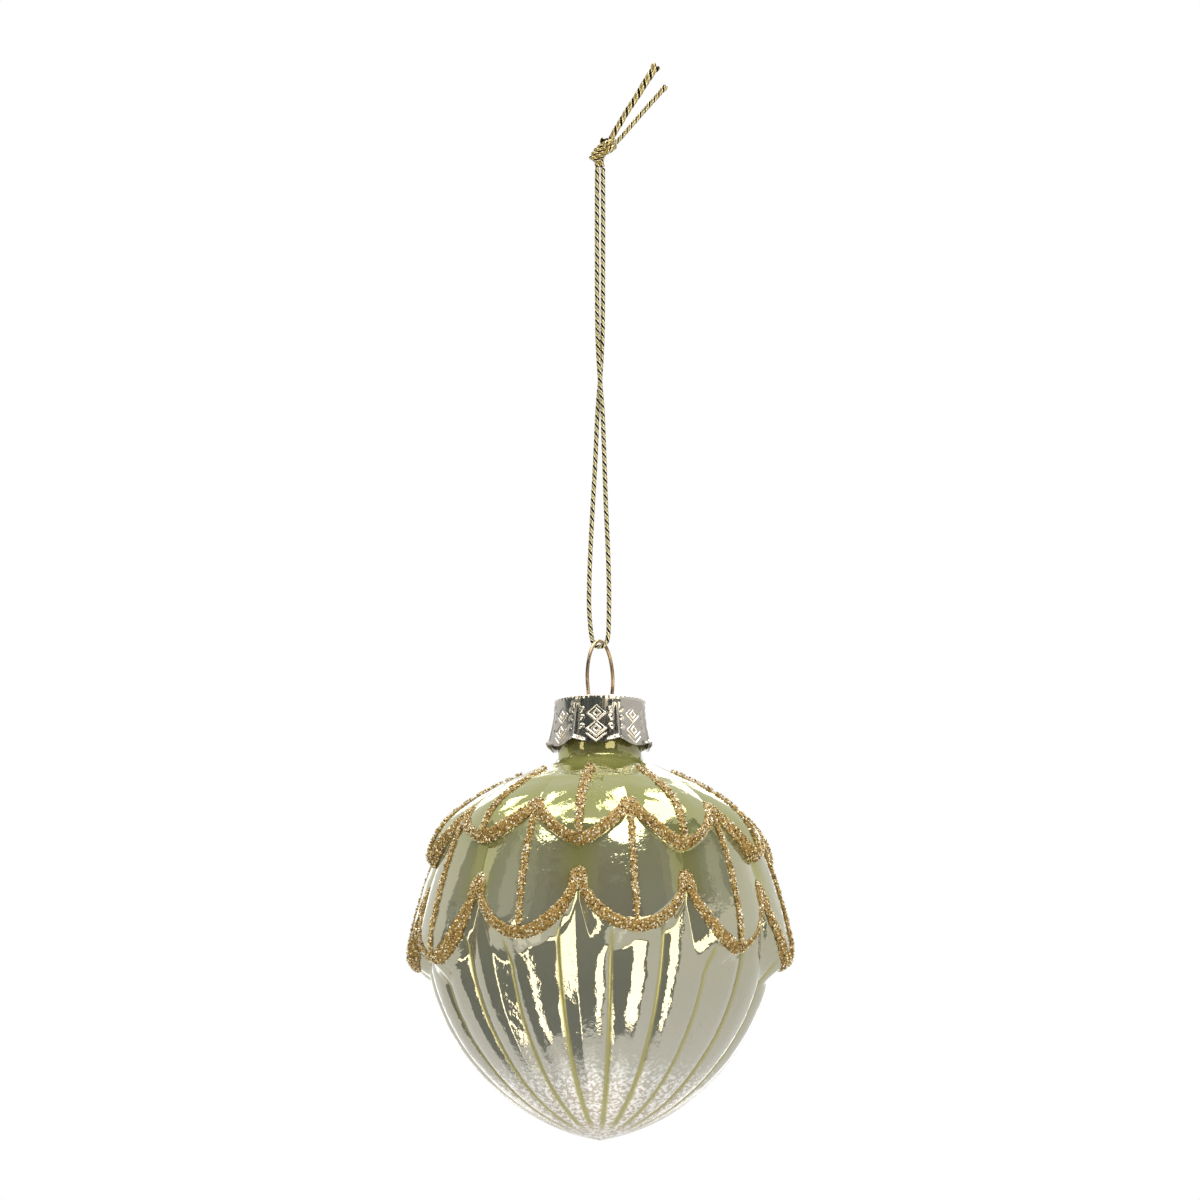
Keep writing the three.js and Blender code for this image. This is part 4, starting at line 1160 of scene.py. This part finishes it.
def whitePaper(add):
    # Matt white paper that glows to the camera, so that no more than a faint shadow shows on it, and that
    # is clear from below.
    seen = add("LightPath").outputs["Is Camera Ray"]
    paper = add("BsdfDiffuse", {"Color": linear("#F4F4F2")})
    white = add("Emission", {"Color": linear("#FFFFFF"), "Strength": 1.0})
    share = add("Math", {"operation": "MULTIPLY", 1: studio["floorGlow"]}, {0: seen})
    above = add("MixShader", {}, {0: share, 1: paper, 2: white})
    clear = add("BsdfTransparent")
    return add("MixShader", {}, {0: add("NewGeometry").outputs["Backfacing"], 1: above, 2: clear})


def makeFloor(sides=64):
    radius = studio["floorRadius"]
    turns = [2 * math.pi * i / sides for i in range(sides)]
    points = [(radius * math.cos(t), radius * math.sin(t), studio["floorZ"]) for t in turns]
    floor = stagePiece("floor", points, [list(range(sides))], makeMaterial("white paper floor", whitePaper))
    floor.visible_glossy = False


def screen(name, span, distance, colour, strength=1.0):
    # a curved cloth or softbox face round the ornament, seen only in the glass and the metal
    def glow(add):
        return add("Emission", {"Color": linear(colour), "Strength": strength})

    left, right, low, high = np.radians(span)
    rows = columns = 24
    up, turn = np.meshgrid(np.linspace(low, high, rows), np.linspace(left, right, columns), indexing="ij")
    points = np.stack([np.cos(up) * np.sin(turn), -np.cos(up) * np.cos(turn), np.sin(up)], -1) * distance
    points[..., 2] += studio["heart"]
    faces = [[i * columns + k, i * columns + k + 1, (i + 1) * columns + k + 1, (i + 1) * columns + k]
             for i in range(rows - 1) for k in range(columns - 1)]
    piece = stagePiece(name, points.reshape(-1, 3).tolist(), faces,
                       makeMaterial("studio cloth and softbox faces", glow))
    piece.visible_camera = False
    piece.visible_diffuse = False
    piece.visible_shadow = False
    piece.visible_transmission = False


def lamp(name, place, size, watts):
    data = bpy.data.lights.new(name, "AREA")
    data.shape = "RECTANGLE"
    data.size, data.size_y = size
    data.energy = watts
    data.color = linear(studio["lampColour"])[:3]
    light = bpy.data.objects.new(name, data)
    light.location = place
    light.rotation_euler = (Vector(studio["lampAim"]) - light.location).to_track_quat("-Z", "Y").to_euler()
    light.visible_glossy = False
    bpy.context.scene.collection.objects.link(light)


def makeStudio():
    makeWorld()
    makeFloor()
    distance = studio["distance"]
    for name, (span, colour) in studio["cloths"].items():
        screen(name + "Cloth", span, distance, colour)
    for layer, (name, (span, colour)) in enumerate(studio["folds"].items(), 1):
        screen(name + "Fold", span, distance - studio["foldStep"] * layer, colour)
    for colour, strength, boxes in studio["boxes"]:
        for name, span in boxes.items():
            screen(name + "Box", span, distance - studio["boxStep"], colour, strength)
    for name, (place, size, watts) in studio["lamps"].items():
        lamp(name, place, size, watts)
    bpy.context.scene.view_settings.view_transform = "Standard"
    print("studio made")


makeStudio()
